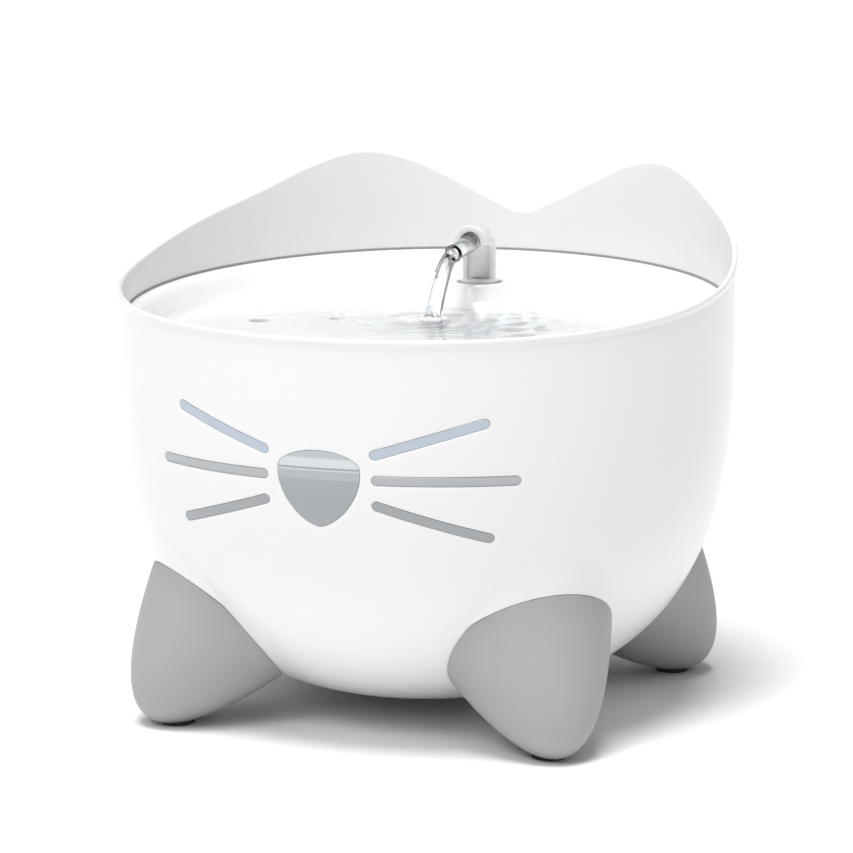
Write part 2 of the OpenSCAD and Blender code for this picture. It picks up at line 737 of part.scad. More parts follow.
module filter_base() {
    shelf_t = 4;
    shelf_w = 2.5;
    hole_deep = 12;
    color([0.86, 0.87, 0.88]) difference() {
        union() {
            at_filter(boss_top) difference() {
                cylinder(r = filter_r, h = tub_top - boss_top);
                translate([0, 0, filter_wall]) cylinder(r = tub_in_r, h = far);
            }
            at_filter(cartridge_z - shelf_t) difference() {
                cylinder(r = tub_in_r + 0.5, h = shelf_t);
                translate([0, 0, -1])
                    cylinder(r1 = tub_in_r + 0.3, r2 = tub_in_r - shelf_w - 0.5, h = shelf_t + 0.5);
                cylinder(r = tub_in_r - shelf_w, h = shelf_t + 1);
            }
        }
        translate([filter_r - hole_deep / 2, lead_hole_y, pump_axis_z + lead_hole_rise])
            rotate([0, 90, 0]) cylinder(r = lead_hole_r, h = hole_deep);
    }
}

module filter_lid() {
    slot_count = 20;
    slot_in = 17;
    slot_out = tub_in_r - 6;
    slot_w = 2;
    lug = [14, 2.5, 5];
    color([0.86, 0.87, 0.88]) difference() {
        union() {
            at_filter(tub_top) cylinder(r = filter_r, h = lid_t);
            at_filter(tub_top - 1.2) ring(tub_in_r - fit_gap, tub_in_r - 2, 1.3);
            at_filter(lid_top - 0.2) translate([-lug[0] / 2, -filter_r + 3, 0]) cube(lug);
        }
        translate([0, outlet_y, tub_top - 2]) cylinder(r = hose_out_r + 0.8, h = 8);
        at_filter(tub_top - 2) for (i = [0:slot_count - 1])
            if (cos(360 * i / slot_count - 90) < 0.6) rotate([0, 0, 360 * i / slot_count])
                translate([slot_in, -slot_w / 2, 0]) cube([slot_out - slot_in, slot_w, 8]);
    }
}

module cartridge_frame() {
    frame_h = tub_top - 1.4 - cartridge_z;
    color(white) difference() {
        union() {
            at_filter(cartridge_z) ring(frame_r, frame_r - 1.4, frame_h);
            translate([0, outlet_y, cartridge_z]) cylinder(r = sleeve_out_r, h = frame_h);
            intersection() {
                at_filter(cartridge_z) cylinder(r = frame_r - 0.5, h = frame_floor);
                for (x = [-30:10:30]) translate([x - 0.8, filter_y - filter_r, cartridge_z])
                    cube([1.6, 2 * filter_r, frame_floor]);
            }
            intersection() {
                at_filter(cartridge_z) cylinder(r = frame_r - 0.5, h = frame_floor);
                for (y = [-30:10:30]) translate([-filter_r, filter_y + y - 0.8, cartridge_z])
                    cube([2 * filter_r, 1.6, frame_floor]);
            }
        }
        translate([0, outlet_y, cartridge_z - 1]) cylinder(r = sleeve_in_r, h = frame_h + 2);
    }
}

module filter_pad(z, h) {
    difference() {
        at_filter(z) cylinder(r = frame_r - 1.7, h = h);
        translate([0, outlet_y, z - 1]) cylinder(r = sleeve_out_r + 0.3, h = h + 2);
    }
}

module granule_pad() { color([0.35, 0.36, 0.38]) filter_pad(granule_z, granule_t); }
module foam_pad() { color([0.80, 0.84, 0.86]) filter_pad(foam_z, foam_t); }

// ---- pump
module suction_cups() {
    color(dark) for (place = cup_places)
        translate([place[0] * cup_x, pump_y0 + place[1], tub_floor]) rotate_extrude()
            polygon([[0, 1.4], [2.6, 1], [4.4, 0], [4.8, 0], [4.6, 0.5], [2.6, 2.4],
                [2.2, cup_h], [1.9, cup_h], [1.9, cup_h + 1.8], [0, cup_h + 1.8]]);
}

module pump_housing() {
    up = pump_top - pump_axis_z;
    down = pump_axis_z - pump_z0;
    color(dark) difference() {
        union() {
            at_pump() translate([-pump_w / 2, -up, 0]) cube([pump_w, up + down, motor_len]);
            at_pump() translate([-pump_w / 2 + 1.5, -up, motor_len - 1])
                cube([pump_w - 3, up + down, chamber_len + 1]);
            translate([0, outlet_y, pump_top - 1]) cylinder(r = nipple_r, h = outlet_top - pump_top + 1);
            translate([pump_w / 2 - 1, 4, pump_axis_z + 4]) rotate([0, 90, 0])
                ring(lead_r + 1.6, lead_r + 0.3, 5);
        }
        at_pump() {
            translate([0, 0, motor_len]) cylinder(r = chamber_r, h = far);
            translate([0, 0, rotor_t0]) cylinder(r = rotor_bore_r, h = motor_len);
            translate([0, 0, rotor_t0 - bush_t]) cylinder(r = bush_r + 0.03, h = bush_t + 1);
            difference() {
                translate([-pump_w / 2 + cavity_wall, -up + 3, cavity_t0])
                    cube([pump_w - 2 * cavity_wall, up + down - 3 - cavity_floor,
                        cavity_t1 - cavity_t0]);
                translate([0, 0, cavity_t0 - 1])
                    cylinder(r = rotor_bore_r + rotor_wall, h = cavity_t1 - cavity_t0 + 2);
            }
            for (sx = [-1, 1]) translate([sx * (pump_w / 2 - 4), -up + 3.2, pump_len - 6])
                cylinder(r = 0.9, h = 8);
        }
        translate([0, outlet_y, pump_axis_z]) cylinder(r = water_bore_r, h = far);
        for (place = cup_places)
            translate([place[0] * cup_x, pump_y0 + place[1], pump_z0 - 1]) cylinder(r = 1.95, h = 3);
    }
}

module intake_cover() {
    up = pump_top - pump_axis_z;
    color(dark) at_pump() translate([0, 0, pump_len + cover_joint]) difference() {
        union() {
            translate([-pump_w / 2 + 1.5, -up, 0]) cube([pump_w - 3, 2 * up, cover_t]);
            translate([0, 0, -bush_t - 0.5]) cylinder(r = bush_r + 1.3, h = bush_t + 1);
            translate([0, 0, cover_t - 1]) cylinder(r = pivot_r, h = knob_t + 1.6);
        }
        translate([0, 0, -bush_t - 1]) cylinder(r = bush_r + 0.03, h = bush_t + 1);
        for (a = [0:120:240]) rotate([0, 0, a + 90]) translate([inlet_holes_at + bush_r, 0, -1])
            cylinder(r = inlet_hole_r, h = cover_t + 2);
        for (sx = [-1, 1]) translate([sx * (pump_w / 2 - 4), -up + 3.2, -1])
            cylinder(r = 1.2, h = cover_t + 2);
    }
}

module intake_screws() {
    up = pump_top - pump_axis_z;
    color("silver") at_pump() for (sx = [-1, 1])
        translate([sx * (pump_w / 2 - 4), -up + 3.2, pump_len + cover_joint + cover_t]) {
            cylinder(r = 2, h = 1.4);
            translate([0, 0, -cover_t - 5]) cylinder(r = 0.88, h = cover_t + 5.5);
        }
}

module flow_knob() {
    color(grey) at_pump() translate([0, 0, pump_len + cover_joint + cover_t + seat_gap]) difference() {
        union() {
            cylinder(r = knob_r, h = knob_t);
            translate([-grip_w / 2, -grip_t / 2, knob_t - grip_sink]) cube([grip_w, grip_t, grip_t]);
        }
        translate([0, 0, -1]) cylinder(r = pivot_r + 0.06, h = knob_t + 6);
        for (a = [0:120:240]) rotate([0, 0, a + 90]) translate([inlet_holes_at + bush_r, 0, -1])
            cylinder(r = inlet_hole_r, h = knob_t + 2);
    }
}

module impeller() {
    sleeve_t0 = rotor_t0 + end_play;
    sleeve_t1 = pump_len - bush_t - end_play;
    color([0.92, 0.92, 0.90]) at_pump() difference() {
        union() {
            translate([0, 0, sleeve_t0]) cylinder(r = sleeve_r, h = sleeve_t1 - sleeve_t0);
            translate([0, 0, motor_len + 1]) cylinder(r = blade_r, h = 1.5);
            for (i = [0:blade_count - 1]) rotate([0, 0, 360 * i / blade_count])
                translate([1.8, -0.6, motor_len + 2]) cube([blade_r - 2.2, 1.2, chamber_len / 2 - 1]);
        }
        translate([0, 0, sleeve_t0 - 1])
            cylinder(r = shaft_r + shaft_gap, h = sleeve_t1 - sleeve_t0 + 2);
    }
}

module rotor_magnet() {
    color([0.28, 0.27, 0.27]) at_pump() translate([0, 0, rotor_t0 + 1])
        ring(magnet_r, sleeve_r + 0.02, motor_len - rotor_t0 - 1);
}

module pump_shaft() {
    shaft_t0 = rotor_t0 - bush_t + 0.4;
    color("white") at_pump() translate([0, 0, shaft_t0])
        cylinder(r = shaft_r, h = pump_len - 0.4 - shaft_t0);
}

module shaft_bushes() {
    color(dark) at_pump() {
        translate([0, 0, rotor_t0 - bush_t]) ring(bush_r, shaft_r + 0.02, bush_t);
        translate([0, 0, pump_len - bush_t]) ring(bush_r, shaft_r + 0.02, bush_t);
    }
}

// U-shaped laminated core that holds the rotor's bore between its legs
module stator_core() {
    yoke_low = pump_axis_z - pump_z0 - cavity_floor - 0.3 - winding;
    color([0.45, 0.46, 0.48]) at_pump() for (sheet = [core_t0:2:core_t1 - 2])
        translate([0, 0, sheet]) linear_extrude(height = 2) {
            for (sx = [-1, 1]) translate([sx * (core_in + core_leg / 2) - core_leg / 2, -rotor_bore_r])
                square([core_leg, yoke_low + rotor_bore_r]);
            translate([-core_in - core_leg / 2, yoke_low - yoke_h])
                square([2 * core_in + core_leg, yoke_h]);
        }
}

module stator_coil() {
    half = rotor_bore_r + rotor_wall - 0.7;
    low = pump_axis_z - pump_z0 - cavity_floor - 0.3;
    color([0.72, 0.40, 0.20]) at_pump() difference() {
        translate([-half, low - yoke_h - 2 * winding, core_t0 - winding])
            cube([2 * half, yoke_h + 2 * winding, core_t1 - core_t0 + 2 * winding]);
        translate([-far / 2, low - yoke_h - winding - 0.05, core_t0 - 0.05])
            cube([far, yoke_h + 0.1, core_t1 - core_t0 + 0.1]);
    }
}

// ---- power inlet; local z runs outwards along +Y
module at_inlet(y) {
    translate([0, y, inlet_z]) rotate([-90, 0, 0]) children();
}

module power_inlet() {
    color(dark) at_inlet(inlet_inner) difference() {
        union() {
            cylinder(r = inlet_r, h = inlet_len);
            translate([0, 0, inlet_len]) cylinder(r = flange_r, h = flange_t);
        }
        translate([0, 0, 3]) ring(jack_r, 0.7, inlet_len);
    }
}

module inlet_nut() {
    color(grey) at_inlet(seal_y - seal_t - nut_t) difference() {
        cylinder(r = flange_r + 1, h = nut_t, $fn = 6);
        translate([0, 0, -1]) cylinder(r = inlet_r + 0.02, h = nut_t + 2);
    }
}

module inlet_seal() {
    color(seal_col) at_inlet(seal_y - seal_t) ring(flange_r, inlet_r + 0.02, seal_t);
}

// Tube swept along a smooth curve through the lead's points
lead_sides = 8;
function lead_tangent(i) = let (n = len(lead_points) - 1)
    (lead_points[min(n, i + 1)] - lead_points[max(0, i - 1)]) / 2;
function lead_at(i, t) = (2*t*t*t - 3*t*t + 1) * lead_points[i]
    + (t*t*t - 2*t*t + t) * lead_tangent(i) + (3*t*t - 2*t*t*t) * lead_points[i + 1]
    + (t*t*t - t*t) * lead_tangent(i + 1);
lead_path = concat([for (i = [0:len(lead_points) - 2], t = [0, 0.5]) lead_at(i, t)],
    [lead_points[len(lead_points) - 1]]);

module pump_lead() {
    n = len(lead_path);
    function unit(v) = v / norm(v);
    function run(i) = unit(lead_path[min(n - 1, i + 1)] - lead_path[max(0, i - 1)]);
    points = [for (i = [0:n - 1]) let (f = run(i), s = unit(cross(f, [0.3, 0.2, 1])), u = cross(s, f))
        for (k = [0:lead_sides - 1]) let (a = 360 * k / lead_sides)
            lead_path[i] + lead_r * (cos(a) * s + sin(a) * u)];
    m = lead_sides;
    sides = [for (i = [0:n - 2], k = [0:m - 1]) let (k2 = (k + 1) % m)
        each [[i*m + k, i*m + k2, (i + 1)*m + k2], [i*m + k, (i + 1)*m + k2, (i + 1)*m + k]]];
    ends = [[for (k = [m - 1:-1:0]) k], [for (k = [0:m - 1]) (n - 1) * m + k]];
    color(dark) polyhedron(points = points, faces = concat(sides, ends), convexity = 6);
}

bowl_shell();
window_gasket();
face_window();
foot_front_left();
foot_front_right();
foot_rear_left();
foot_rear_right();
foot_pads();
foot_screws();
drinking_dish();
spout_hood();
nozzle_tube();
spout_oring();
outlet_hose();
filter_base();
filter_lid();
cartridge_frame();
granule_pad();
foam_pad();
suction_cups();
pump_housing();
intake_cover();
intake_screws();
flow_knob();
impeller();
rotor_magnet();
pump_shaft();
shaft_bushes();
stator_core();
stator_coil();
power_inlet();
inlet_nut();
inlet_seal();
pump_lead();
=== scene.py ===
"""Dresses the pet water fountain: bowl, feet, dish, spout, windows, water, light and camera."""
from types import SimpleNamespace
import bmesh
import bpy
import numpy as np
from bpy.props import FloatProperty, FloatVectorProperty, PointerProperty
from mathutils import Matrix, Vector
from mathutils.geometry import delaunay_2d_cdt


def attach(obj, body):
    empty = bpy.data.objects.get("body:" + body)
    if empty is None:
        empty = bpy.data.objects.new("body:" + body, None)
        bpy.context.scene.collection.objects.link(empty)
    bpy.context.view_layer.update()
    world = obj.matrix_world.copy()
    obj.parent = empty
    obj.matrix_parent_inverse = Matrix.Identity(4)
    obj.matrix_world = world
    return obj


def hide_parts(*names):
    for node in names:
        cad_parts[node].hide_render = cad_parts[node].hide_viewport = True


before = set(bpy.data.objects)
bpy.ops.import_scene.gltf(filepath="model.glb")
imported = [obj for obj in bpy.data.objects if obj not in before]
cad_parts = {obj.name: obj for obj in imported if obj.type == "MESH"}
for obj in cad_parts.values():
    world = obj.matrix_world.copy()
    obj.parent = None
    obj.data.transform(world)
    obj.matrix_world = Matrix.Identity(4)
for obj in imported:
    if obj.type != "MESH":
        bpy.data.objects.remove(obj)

bl_info = {
    "name": "Cat Fountain",
    "version": (1, 0, 0),
    "blender": (4, 5, 0),
    "location": "3D View > Sidebar > Fountain",
    "description": "Builds the surfaces, finishes, water and studio of a cat fountain",
    "category": "Object",
}

MM = 0.001               # a millimetre in metres
FRONT = np.radians(-90)  # where the face looks, from +X
TAU = 2 * np.pi


# ---- settings

def length(name, description, default):
    """A setting in metres."""
    return FloatProperty(name=name, description=description, default=default, unit="LENGTH", precision=5)


def colour(name, description, default):
    """A colour to choose."""
    return FloatVectorProperty(name=name, description=description, default=default, subtype="COLOR",
                               size=3, min=0, max=1)


class BowlSettings(bpy.types.PropertyGroup):
    """Sizes of the bowl and of its rim."""
    radius: length("Radius", "Outer radius of the wall", 0.1075)
    wall: length("Wall", "Thickness of the wall", 0.0022)
    lift: length("Lift", "Height of the underside above the floor", 0.0061)
    curve: length("Curve", "Height over which the wall curves in", 0.1425)
    flat: length("Flat", "Radius of the flat middle of the underside", 0.020)
    rim: length("Front rim", "Height of the rim at the front", 0.1441)
    ears: length("Ears", "Rise of the ear peaks above the front rim", 0.0381)
    lip: length("Lip", "How far the rim's lip stands out", 0.0006)


class FootSettings(bpy.types.PropertyGroup):
    """Sizes of the four feet."""
    lean: FloatProperty(name="Lean", description="Lean outwards from straight down, in degrees", default=41.3)
    radius: length("Radius", "Radius of the top edge", 0.0304)
    reach: length("Length", "Length from the top edge to the tip", 0.0442)
    wall: length("Wall", "Wall of the cover", 0.0026)
    place: length("Place", "Distance of the top edge's middle from the bowl's axis", 0.0776)
    height: length("Height", "Height of the top edge's middle", 0.0365)


class DishSettings(bpy.types.PropertyGroup):
    """Sizes of the drinking dish."""
    radius: length("Radius", "Radius of the edge", 0.1050)
    height: length("Height", "Height of the edge at the middle", 0.1397)
    depth: length("Depth", "Depth of the floor below the edge", 0.0094)
    thickness: length("Thickness", "Thickness of the dish", 0.0022)
    tilt: FloatProperty(name="Tilt", description="Slope towards the front, in degrees", default=2.9)


class SpoutSettings(bpy.types.PropertyGroup):
    """Sizes of the spout."""
    place: length("Place", "Distance behind the middle of the bowl", 0.0568)
    radius: length("Radius", "Radius of the column", 0.0063)
    bend: length("Bend", "Radius of the bend at its axis", 0.0066)
    axis: length("Axis", "Height of the nozzle's axis", 0.15518)
    nozzle: length("Nozzle", "Outer radius of the nozzle", 0.003)
    mouth: length("Mouth", "Distance of the nozzle's mouth behind the middle of the bowl", 0.0274)


class WaterSettings(bpy.types.PropertyGroup):
    """Sizes of the water."""
    level: length("Level", "Height of the water in the dish", 0.1336)
    tank: length("Tank level", "Height of the water in the bowl", 0.1012)
    ripple: length("Ripple", "Height of the ripples", 0.00055)


class ColourSettings(bpy.types.PropertyGroup):
    """Colours of the finishes."""
    bowl: colour("Bowl", "White plastic", (0.83, 0.83, 0.83))
    foot: colour("Feet", "Grey plastic", (0.375, 0.375, 0.38))
    window: colour("Windows", "Clear window plastic", (0.49, 0.56, 0.64))


def in_mm(settings):
    """The settings of a group, with its lengths in millimetres."""
    rna = settings.bl_rna.properties
    return SimpleNamespace(**{p.identifier: getattr(settings, p.identifier)
                              * (1000 if p.type == "FLOAT" and p.unit == "LENGTH" else 1)
                              for p in rna if p.type == "FLOAT" and not p.is_array})


# ---- arrays and meshes

def turns(count):
    """Angles at even steps round a full turn."""
    return TAU * np.arange(count) / count


def unit(v):
    """Vectors along the last axis, brought to length 1."""
    return v / np.linalg.norm(v, axis=-1, keepdims=True)


def smooth(t):
    """3 t t - 2 t t t: from 0 to 1 with level ends."""
    return t * t * (3 - 2 * t)


def bezier(p0, p1, p2, p3, t):
    """Points at the shares t of a cubic Bezier curve."""
    return (1 - t) ** 3 * p0 + 3 * (1 - t) ** 2 * t * p1 + 3 * (1 - t) * t ** 2 * p2 + t ** 3 * p3


def circle(x, y, r, count):
    """Flat points at even steps round a circle."""
    a = turns(count)
    return np.stack([x + r * np.cos(a), y + r * np.sin(a)], 1)


def grid(rows, cols, loop_rows=False, loop_cols=False):
    """Quads of a rows by cols grid of points, closed on itself where asked."""
    i = np.arange(rows if loop_rows else rows - 1)[:, None]
    j = np.arange(cols if loop_cols else cols - 1)[None, :]
    a, b = (i + 1) % rows, (j + 1) % cols
    return np.stack(np.broadcast_arrays(i * cols + j, i * cols + b, a * cols + b, a * cols + j), -1)


class Form:
    """Collects sheets of points and faces, and joins them into one mesh where they meet."""

    def __init__(self):
        self.points, self.faces, self.count = [], [], 0

    def add(self, points, faces):
        """Points of any shape that ends in 3, in millimetres, and faces as rows of indices."""
        points = np.asarray(points, float).reshape(-1, 3)
        faces = np.asarray(faces)
        self.points.append(points)
        self.faces.append(faces.reshape(-1, faces.shape[-1]) + self.count)
        self.count += len(points)
        return self

    def sheet(self, points, loop_rows=False, loop_cols=False):
        """A grid of points with shape (rows, cols, 3)."""
        rows, cols = points.shape[:2]
        return self.add(points, grid(rows, cols, loop_rows, loop_cols))

    def slab(self, top, under):
        """A closed piece between two sheets by share of radius and angle."""
        return self.sheet(np.concatenate([top, under[::-1]]), loop_cols=True)

    def make(self, name, material, crease=40, join=0.004, tiny=0.0005, outside=True):
        """One object at the origin: points closer than join merged, edges shorter than tiny
        dissolved, faces pointing outwards, smooth below the crease angle."""
        mesh = bpy.data.meshes.new(name)
        points = np.concatenate(self.points) * MM
        mesh.from_pydata(points.tolist(), [], [f for part in self.faces for f in part.tolist()])
        bm = bmesh.new()
        bm.from_mesh(mesh)
        bmesh.ops.remove_doubles(bm, verts=bm.verts, dist=join * MM)
        bmesh.ops.dissolve_degenerate(bm, edges=bm.edges, dist=tiny * MM)
        if outside:
            bmesh.ops.recalc_face_normals(bm, faces=bm.faces)
        bm.to_mesh(mesh)
        bm.free()
        mesh.shade_smooth()
        mesh.set_sharp_from_angle(angle=np.radians(crease))
        mesh.materials.append(material)
        piece = bpy.data.objects.new(name, mesh)
        bpy.context.scene.collection.objects.link(piece)
        return piece


def turned(profile, cols, axis=(0, 0)):
    """A profile of (radius, height) points turned about an upright axis: shape (rows, cols, 3)."""
    profile = np.asarray(profile, float)
    a = turns(cols)
    r, z = profile[:, :1], profile[:, 1:]
    return np.stack([axis[0] + r * np.cos(a), axis[1] + r * np.sin(a), z + 0 * a], -1)


def inside(points, *loops):
    """True for each (x, y) point that lies in one of the closed loops, by counting crossings."""
    x, y = points[:, :1], points[:, 1:]
    found = np.zeros(len(points), bool)
    for loop in loops:
        ax, ay = loop[:, 0], loop[:, 1]
        bx, by = np.roll(ax, -1), np.roll(ay, -1)
        crosses = (ay > y) != (by > y)
        slope = (bx - ax) / np.where(by == ay, 1, by - ay)
        found |= (crosses & (x < ax + (y - ay) * slope)).sum(1) % 2 == 1
    return found


def nearest(points, loop):
    """Distance from each point to the nearest point of a loop."""
    return np.sqrt(((points[:, None] - loop[None]) ** 2).sum(-1)).min(1)


def triangulated(loops, loose, same=1e-6, moved=1e-3):
    """Triangles over flat loops and loose points, with every loop's edges kept.

    Returns all points, loops first and in order, and the triangles. It stops if the
    triangulation adds a point or shifts one."""
    points = np.concatenate([*loops, loose])
    ends = np.cumsum([0] + [len(loop) for loop in loops])
    rows = [np.arange(s, e) for s, e in zip(ends[:-1], ends[1:])]
    edges = np.concatenate([np.stack([row, np.roll(row, -1)], 1) for row in rows])
    made = delaunay_2d_cdt([Vector(p) for p in points], edges.tolist(), [], 0, same)
    out = np.array([tuple(v) for v in made[0]])
    if len(out) != len(points) or np.abs(out - points).max() > moved:
        raise RuntimeError("the triangulation moved or added points")
    return points, np.array(made[2])


# ---- finishes

class Field:
    """A value over a surface. It wraps a node's socket, and arithmetic on it adds the Math nodes."""

    def __init__(self, finish, socket):
        self.finish, self.socket = finish, socket

    def _math(self, operation, a, b=0.0):
        return self.finish.node("ShaderNodeMath", {"operation": operation}, {0: a, 1: b})

    def __add__(self, other):
        return self._math("ADD", self, other)

    __radd__ = __add__

    def __sub__(self, other):
        return self._math("SUBTRACT", self, other)

    def __rsub__(self, other):
        return self._math("SUBTRACT", other, self)

    def __mul__(self, other):
        return self._math("MULTIPLY", self, other)

    __rmul__ = __mul__

    def __pow__(self, other):
        return self._math("POWER", self, other)

    def __abs__(self):
        return self._math("ABSOLUTE", self)

    def step(self, start, end):
        """0 below start, 1 above end, smooth between."""
        return self.finish.node("ShaderNodeMapRange", {"interpolation_type": "SMOOTHSTEP"},
                                {"Value": self, "From Min": start, "From Max": end})


class Finish:
    """A material made of nodes."""

    def __init__(self, name):
        self.material = bpy.data.materials.new(name)
        self.material.use_nodes = True
        self.tree = self.material.node_tree
        self.tree.nodes.clear()
        self.output = self.tree.nodes.new("ShaderNodeOutputMaterial")

    def node(self, kind, settings=None, inputs=None, out=0):
        """Adds a node with its settings, sets or links its sockets, and returns one of its outputs."""
        made = self.tree.nodes.new(kind)
        for key, value in (settings or {}).items():
            if key == "stops":
                ramp = made.color_ramp.elements
                for stop, (place, shade) in zip((ramp[0], ramp[1]), (value[0], value[-1])):
                    stop.position, stop.color = place, (*shade, 1.0)
                for place, shade in value[1:-1]:
                    ramp.new(place).color = (*shade, 1.0)
            else:
                setattr(made, key, value)
        for key, value in (inputs or {}).items():
            socket = made.inputs[key]
            if isinstance(value, Field):
                self.tree.links.new(value.socket, socket)
            else:
                socket.default_value = value
        return Field(self, made.outputs[out])

    def where(self):
        """The place on the object, in metres."""
        return self.node("ShaderNodeTexCoord", out="Object")

    def place(self, part):
        """One part, X, Y or Z, of the place."""
        return self.node("ShaderNodeSeparateXYZ", {}, {0: self.where()}, out=part)

    def spot(self, middle, start, end, narrow=1.0):
        """1 within the start's distance from an upright axis, 0 beyond the end's, smooth between."""
        x, y = self.place("X") - middle[0], self.place("Y") - middle[1]
        return 1 - ((narrow * x * x + y * y) ** 0.5).step(start, end)

    def noise(self, scale, detail=2.0, stretch=(1, 1, 1)):
        """Noise on the object's own coordinates, about 0 to 1."""
        spread = self.node("ShaderNodeMapping", {}, {"Vector": self.where(), "Scale": stretch})
        return self.node("ShaderNodeTexNoise", {}, {"Vector": spread, "Scale": scale, "Detail": detail})

    def mixed(self, share, a, b):
        """A colour between a and b."""
        a, b = (q if isinstance(q, Field) else (*q, 1.0) for q in (a, b))
        return self.node("ShaderNodeMix", {"data_type": "RGBA"}, {0: share, 6: a, 7: b}, out=2)

    def bump(self, height, strength, distance):
        """The surface's normal, tilted by the slope of a height."""
        return self.node("ShaderNodeBump", {}, {"Height": height, "Strength": strength, "Distance": distance})

    def surface(self, base, **sockets):
        """A Principled surface. Socket names have _ for spaces."""
        values = {"Base Color": base if isinstance(base, Field) else (*base, 1.0)}
        values.update({key.replace("_", " "): value for key, value in sockets.items()})
        return self.finished(self.node("ShaderNodeBsdfPrincipled", {}, values))

    def finished(self, shader):
        """The material with this shader on its surface."""
        self.tree.links.new(shader.socket, self.output.inputs["Surface"])
        return self.material


def painted_gap_shadow(height, slope, radius, blur=0.0003, dark=0.0001, light=0.0009):
    """Painted shadow: a dark line inside a radius, on the plane height + slope y, standing in for the contact
    shadow in the gap where a piece meets the wall.
    """
    def painted_shade(f):
        off = abs(f.place("Z") - f.place("Y") * slope - height)
        return f.spot((0, 0), radius, radius + blur) * (1 - off.step(dark, light))
    return painted_shade


def socket_shade(y, radius, height, blur=0.0001, deep=0.0016, shallow=0.0004):
    """Painted shade on the bottom of a round socket behind the middle, below a height and inside a radius."""
    def painted_shade(f):
        near = f.spot((0, y), radius, radius + blur)
        return near * (1 - f.place("Z").step(height - deep, height - shallow))
    return painted_shade


def moulded(name, base, roughness, grain=2600, depth=0.000012, coat=0.0, drift=0.012, painted_shade=None, shade=0.38):
    """Moulded plastic: a very fine grain, a faint drift of its colour and gloss, and a painted shade where
    asked.
    """
    f = Finish(name)
    cloud = f.noise(14, 3.0)
    tone = f.mixed(cloud, [c * (1 - drift) for c in base], [min(1, c * (1 + drift)) for c in base])
    # painted shade: the colour falls towards the shade share of the base where the mark is
    if painted_shade:
        tone = f.mixed(painted_shade(f), tone, [c * shade for c in base])
    return f.surface(tone, Roughness=roughness + 0.05 * (cloud - 0.5), IOR=1.46, Coat_Weight=coat,
                     Coat_Roughness=0.12, Normal=f.bump(f.noise(grain), 0.35, depth))


def window_painted_tank(name, above, line, nose_half):
    """Clear plastic whose colour paints the tank behind it, lit and shaded, in bands by height from its water
    line.

    Above the line it is pale; at the line a painted highlight shows the meniscus in the nose, with a
    thin line of painted shade and a light one under it; then a pale shelf, and painted shade in the
    darker depth. The nose has its own bands, out to its half width. The ramps' 0 to 1 is the span from 10 mm
    below the line to 10 above."""
    f = Finish(name)
    span, blur = 0.020, 0.002
    ripple = 0.004 * (f.noise(60, stretch=(1, 1, 3)) - 0.5)
    height = (f.place("Z") - line) * (1 / span) + 0.5 + ripple
    low, deep, shelf = (0.36, 0.38, 0.40), (0.38, 0.40, 0.43), (0.45, 0.47, 0.49)
    light, dark = (0.60, 0.62, 0.63), (0.31, 0.33, 0.35)
    # the ramps are painted light: a painted highlight at the meniscus, painted shade in the dark line and in
    # the depth
    nose, sides = (f.node("ShaderNodeValToRGB", {"stops": stops}, {0: height}) for stops in (
        [(0.0, low), (0.29, deep), (0.31, shelf), (0.435, shelf), (0.445, light), (0.465, light),
         (0.475, dark), (0.49, dark), (0.505, (0.68, 0.70, 0.72)), (0.60, (0.70, 0.72, 0.74)),
         (0.645, (0.66, 0.69, 0.72)), (0.665, (0.50, 0.54, 0.58)), (1.0, (0.46, 0.50, 0.54))],
        [(0.0, low), (0.24, deep), (0.27, shelf), (0.46, (0.47, 0.49, 0.51)), (0.50, above), (1.0, above)]))
    near = 1 - abs(f.place("X")).step(nose_half - blur, nose_half + blur)
    return f.surface(f.mixed(near, sides, nose), Roughness=0.12, IOR=1.49, Transmission_Weight=0.08,
                     Coat_Weight=0.5, Coat_Roughness=0.04)


def clear(name, tint, ior, roughness=0.02):
    """Clear plastic or water that bends light."""
    f = Finish(name)
    return f.surface(tint, Roughness=roughness, IOR=ior, Transmission_Weight=1.0,
                     Normal=f.bump(f.noise(260), 0.15, 0.0002))


def still_water(name, tint, stirred=None):
    """Shallow water: it lets the dish show through, and mirrors its surroundings at low angles.

    The mirror's share follows Schlick's curve. Light meets both faces of the thin sheet, so each
    takes part of it. Where it is stirred, given as (x, y, radius), it mirrors more."""
    f = Finish(name)
    facing = f.node("ShaderNodeLayerWeight", {}, {"Blend": 0.5}, out="Facing")
    mirror = 0.008 + 0.40 * facing ** 5
    if stirred:
        *middle, radius = stirred
        zone = f.spot(middle, 0.25 * radius, 1.1 * radius, narrow=0.45)
        mirror = mirror + (0.12 + 0.17 * facing) * zone
    through = f.node("ShaderNodeBsdfTransparent", {}, {"Color": (*tint, 1.0)})
    gloss = f.node("ShaderNodeBsdfGlossy", {}, {"Color": (0.96, 0.98, 1.0, 1.0), "Roughness": 0.02})
    return f.finished(f.node("ShaderNodeMixShader", {}, {0: mirror, 1: through, 2: gloss}))


def metal(name, base, roughness, stretch):
    """Turned or drawn metal with fine lines."""
    f = Finish(name)
    lines = f.noise(900, 3.0, stretch=stretch)
    return f.surface(base, Metallic=1.0, Roughness=roughness + 0.15 * (lines - 0.5),
                     Normal=f.bump(lines, 0.3, 0.00002))


def rubber(name, base, roughness=0.75):
    """Dull rubber with a powdery surface."""
    f = Finish(name)
    dust = f.noise(420, 4.0)
    return f.surface(f.mixed(dust, base, [c * 1.35 + 0.01 for c in base]), Roughness=roughness,
                     Normal=f.bump(dust, 0.4, 0.00005))


def cells(name, dark, light, scale, depth):
    """Open cells of foam, or granules held in a mesh."""
    f = Finish(name)
    spots = f.node("ShaderNodeTexVoronoi", {}, {"Vector": f.where(), "Scale": scale}, out="Distance")
    return f.surface(f.mixed(spots, dark, light), Roughness=0.9, Normal=f.bump(spots, 0.9, depth))


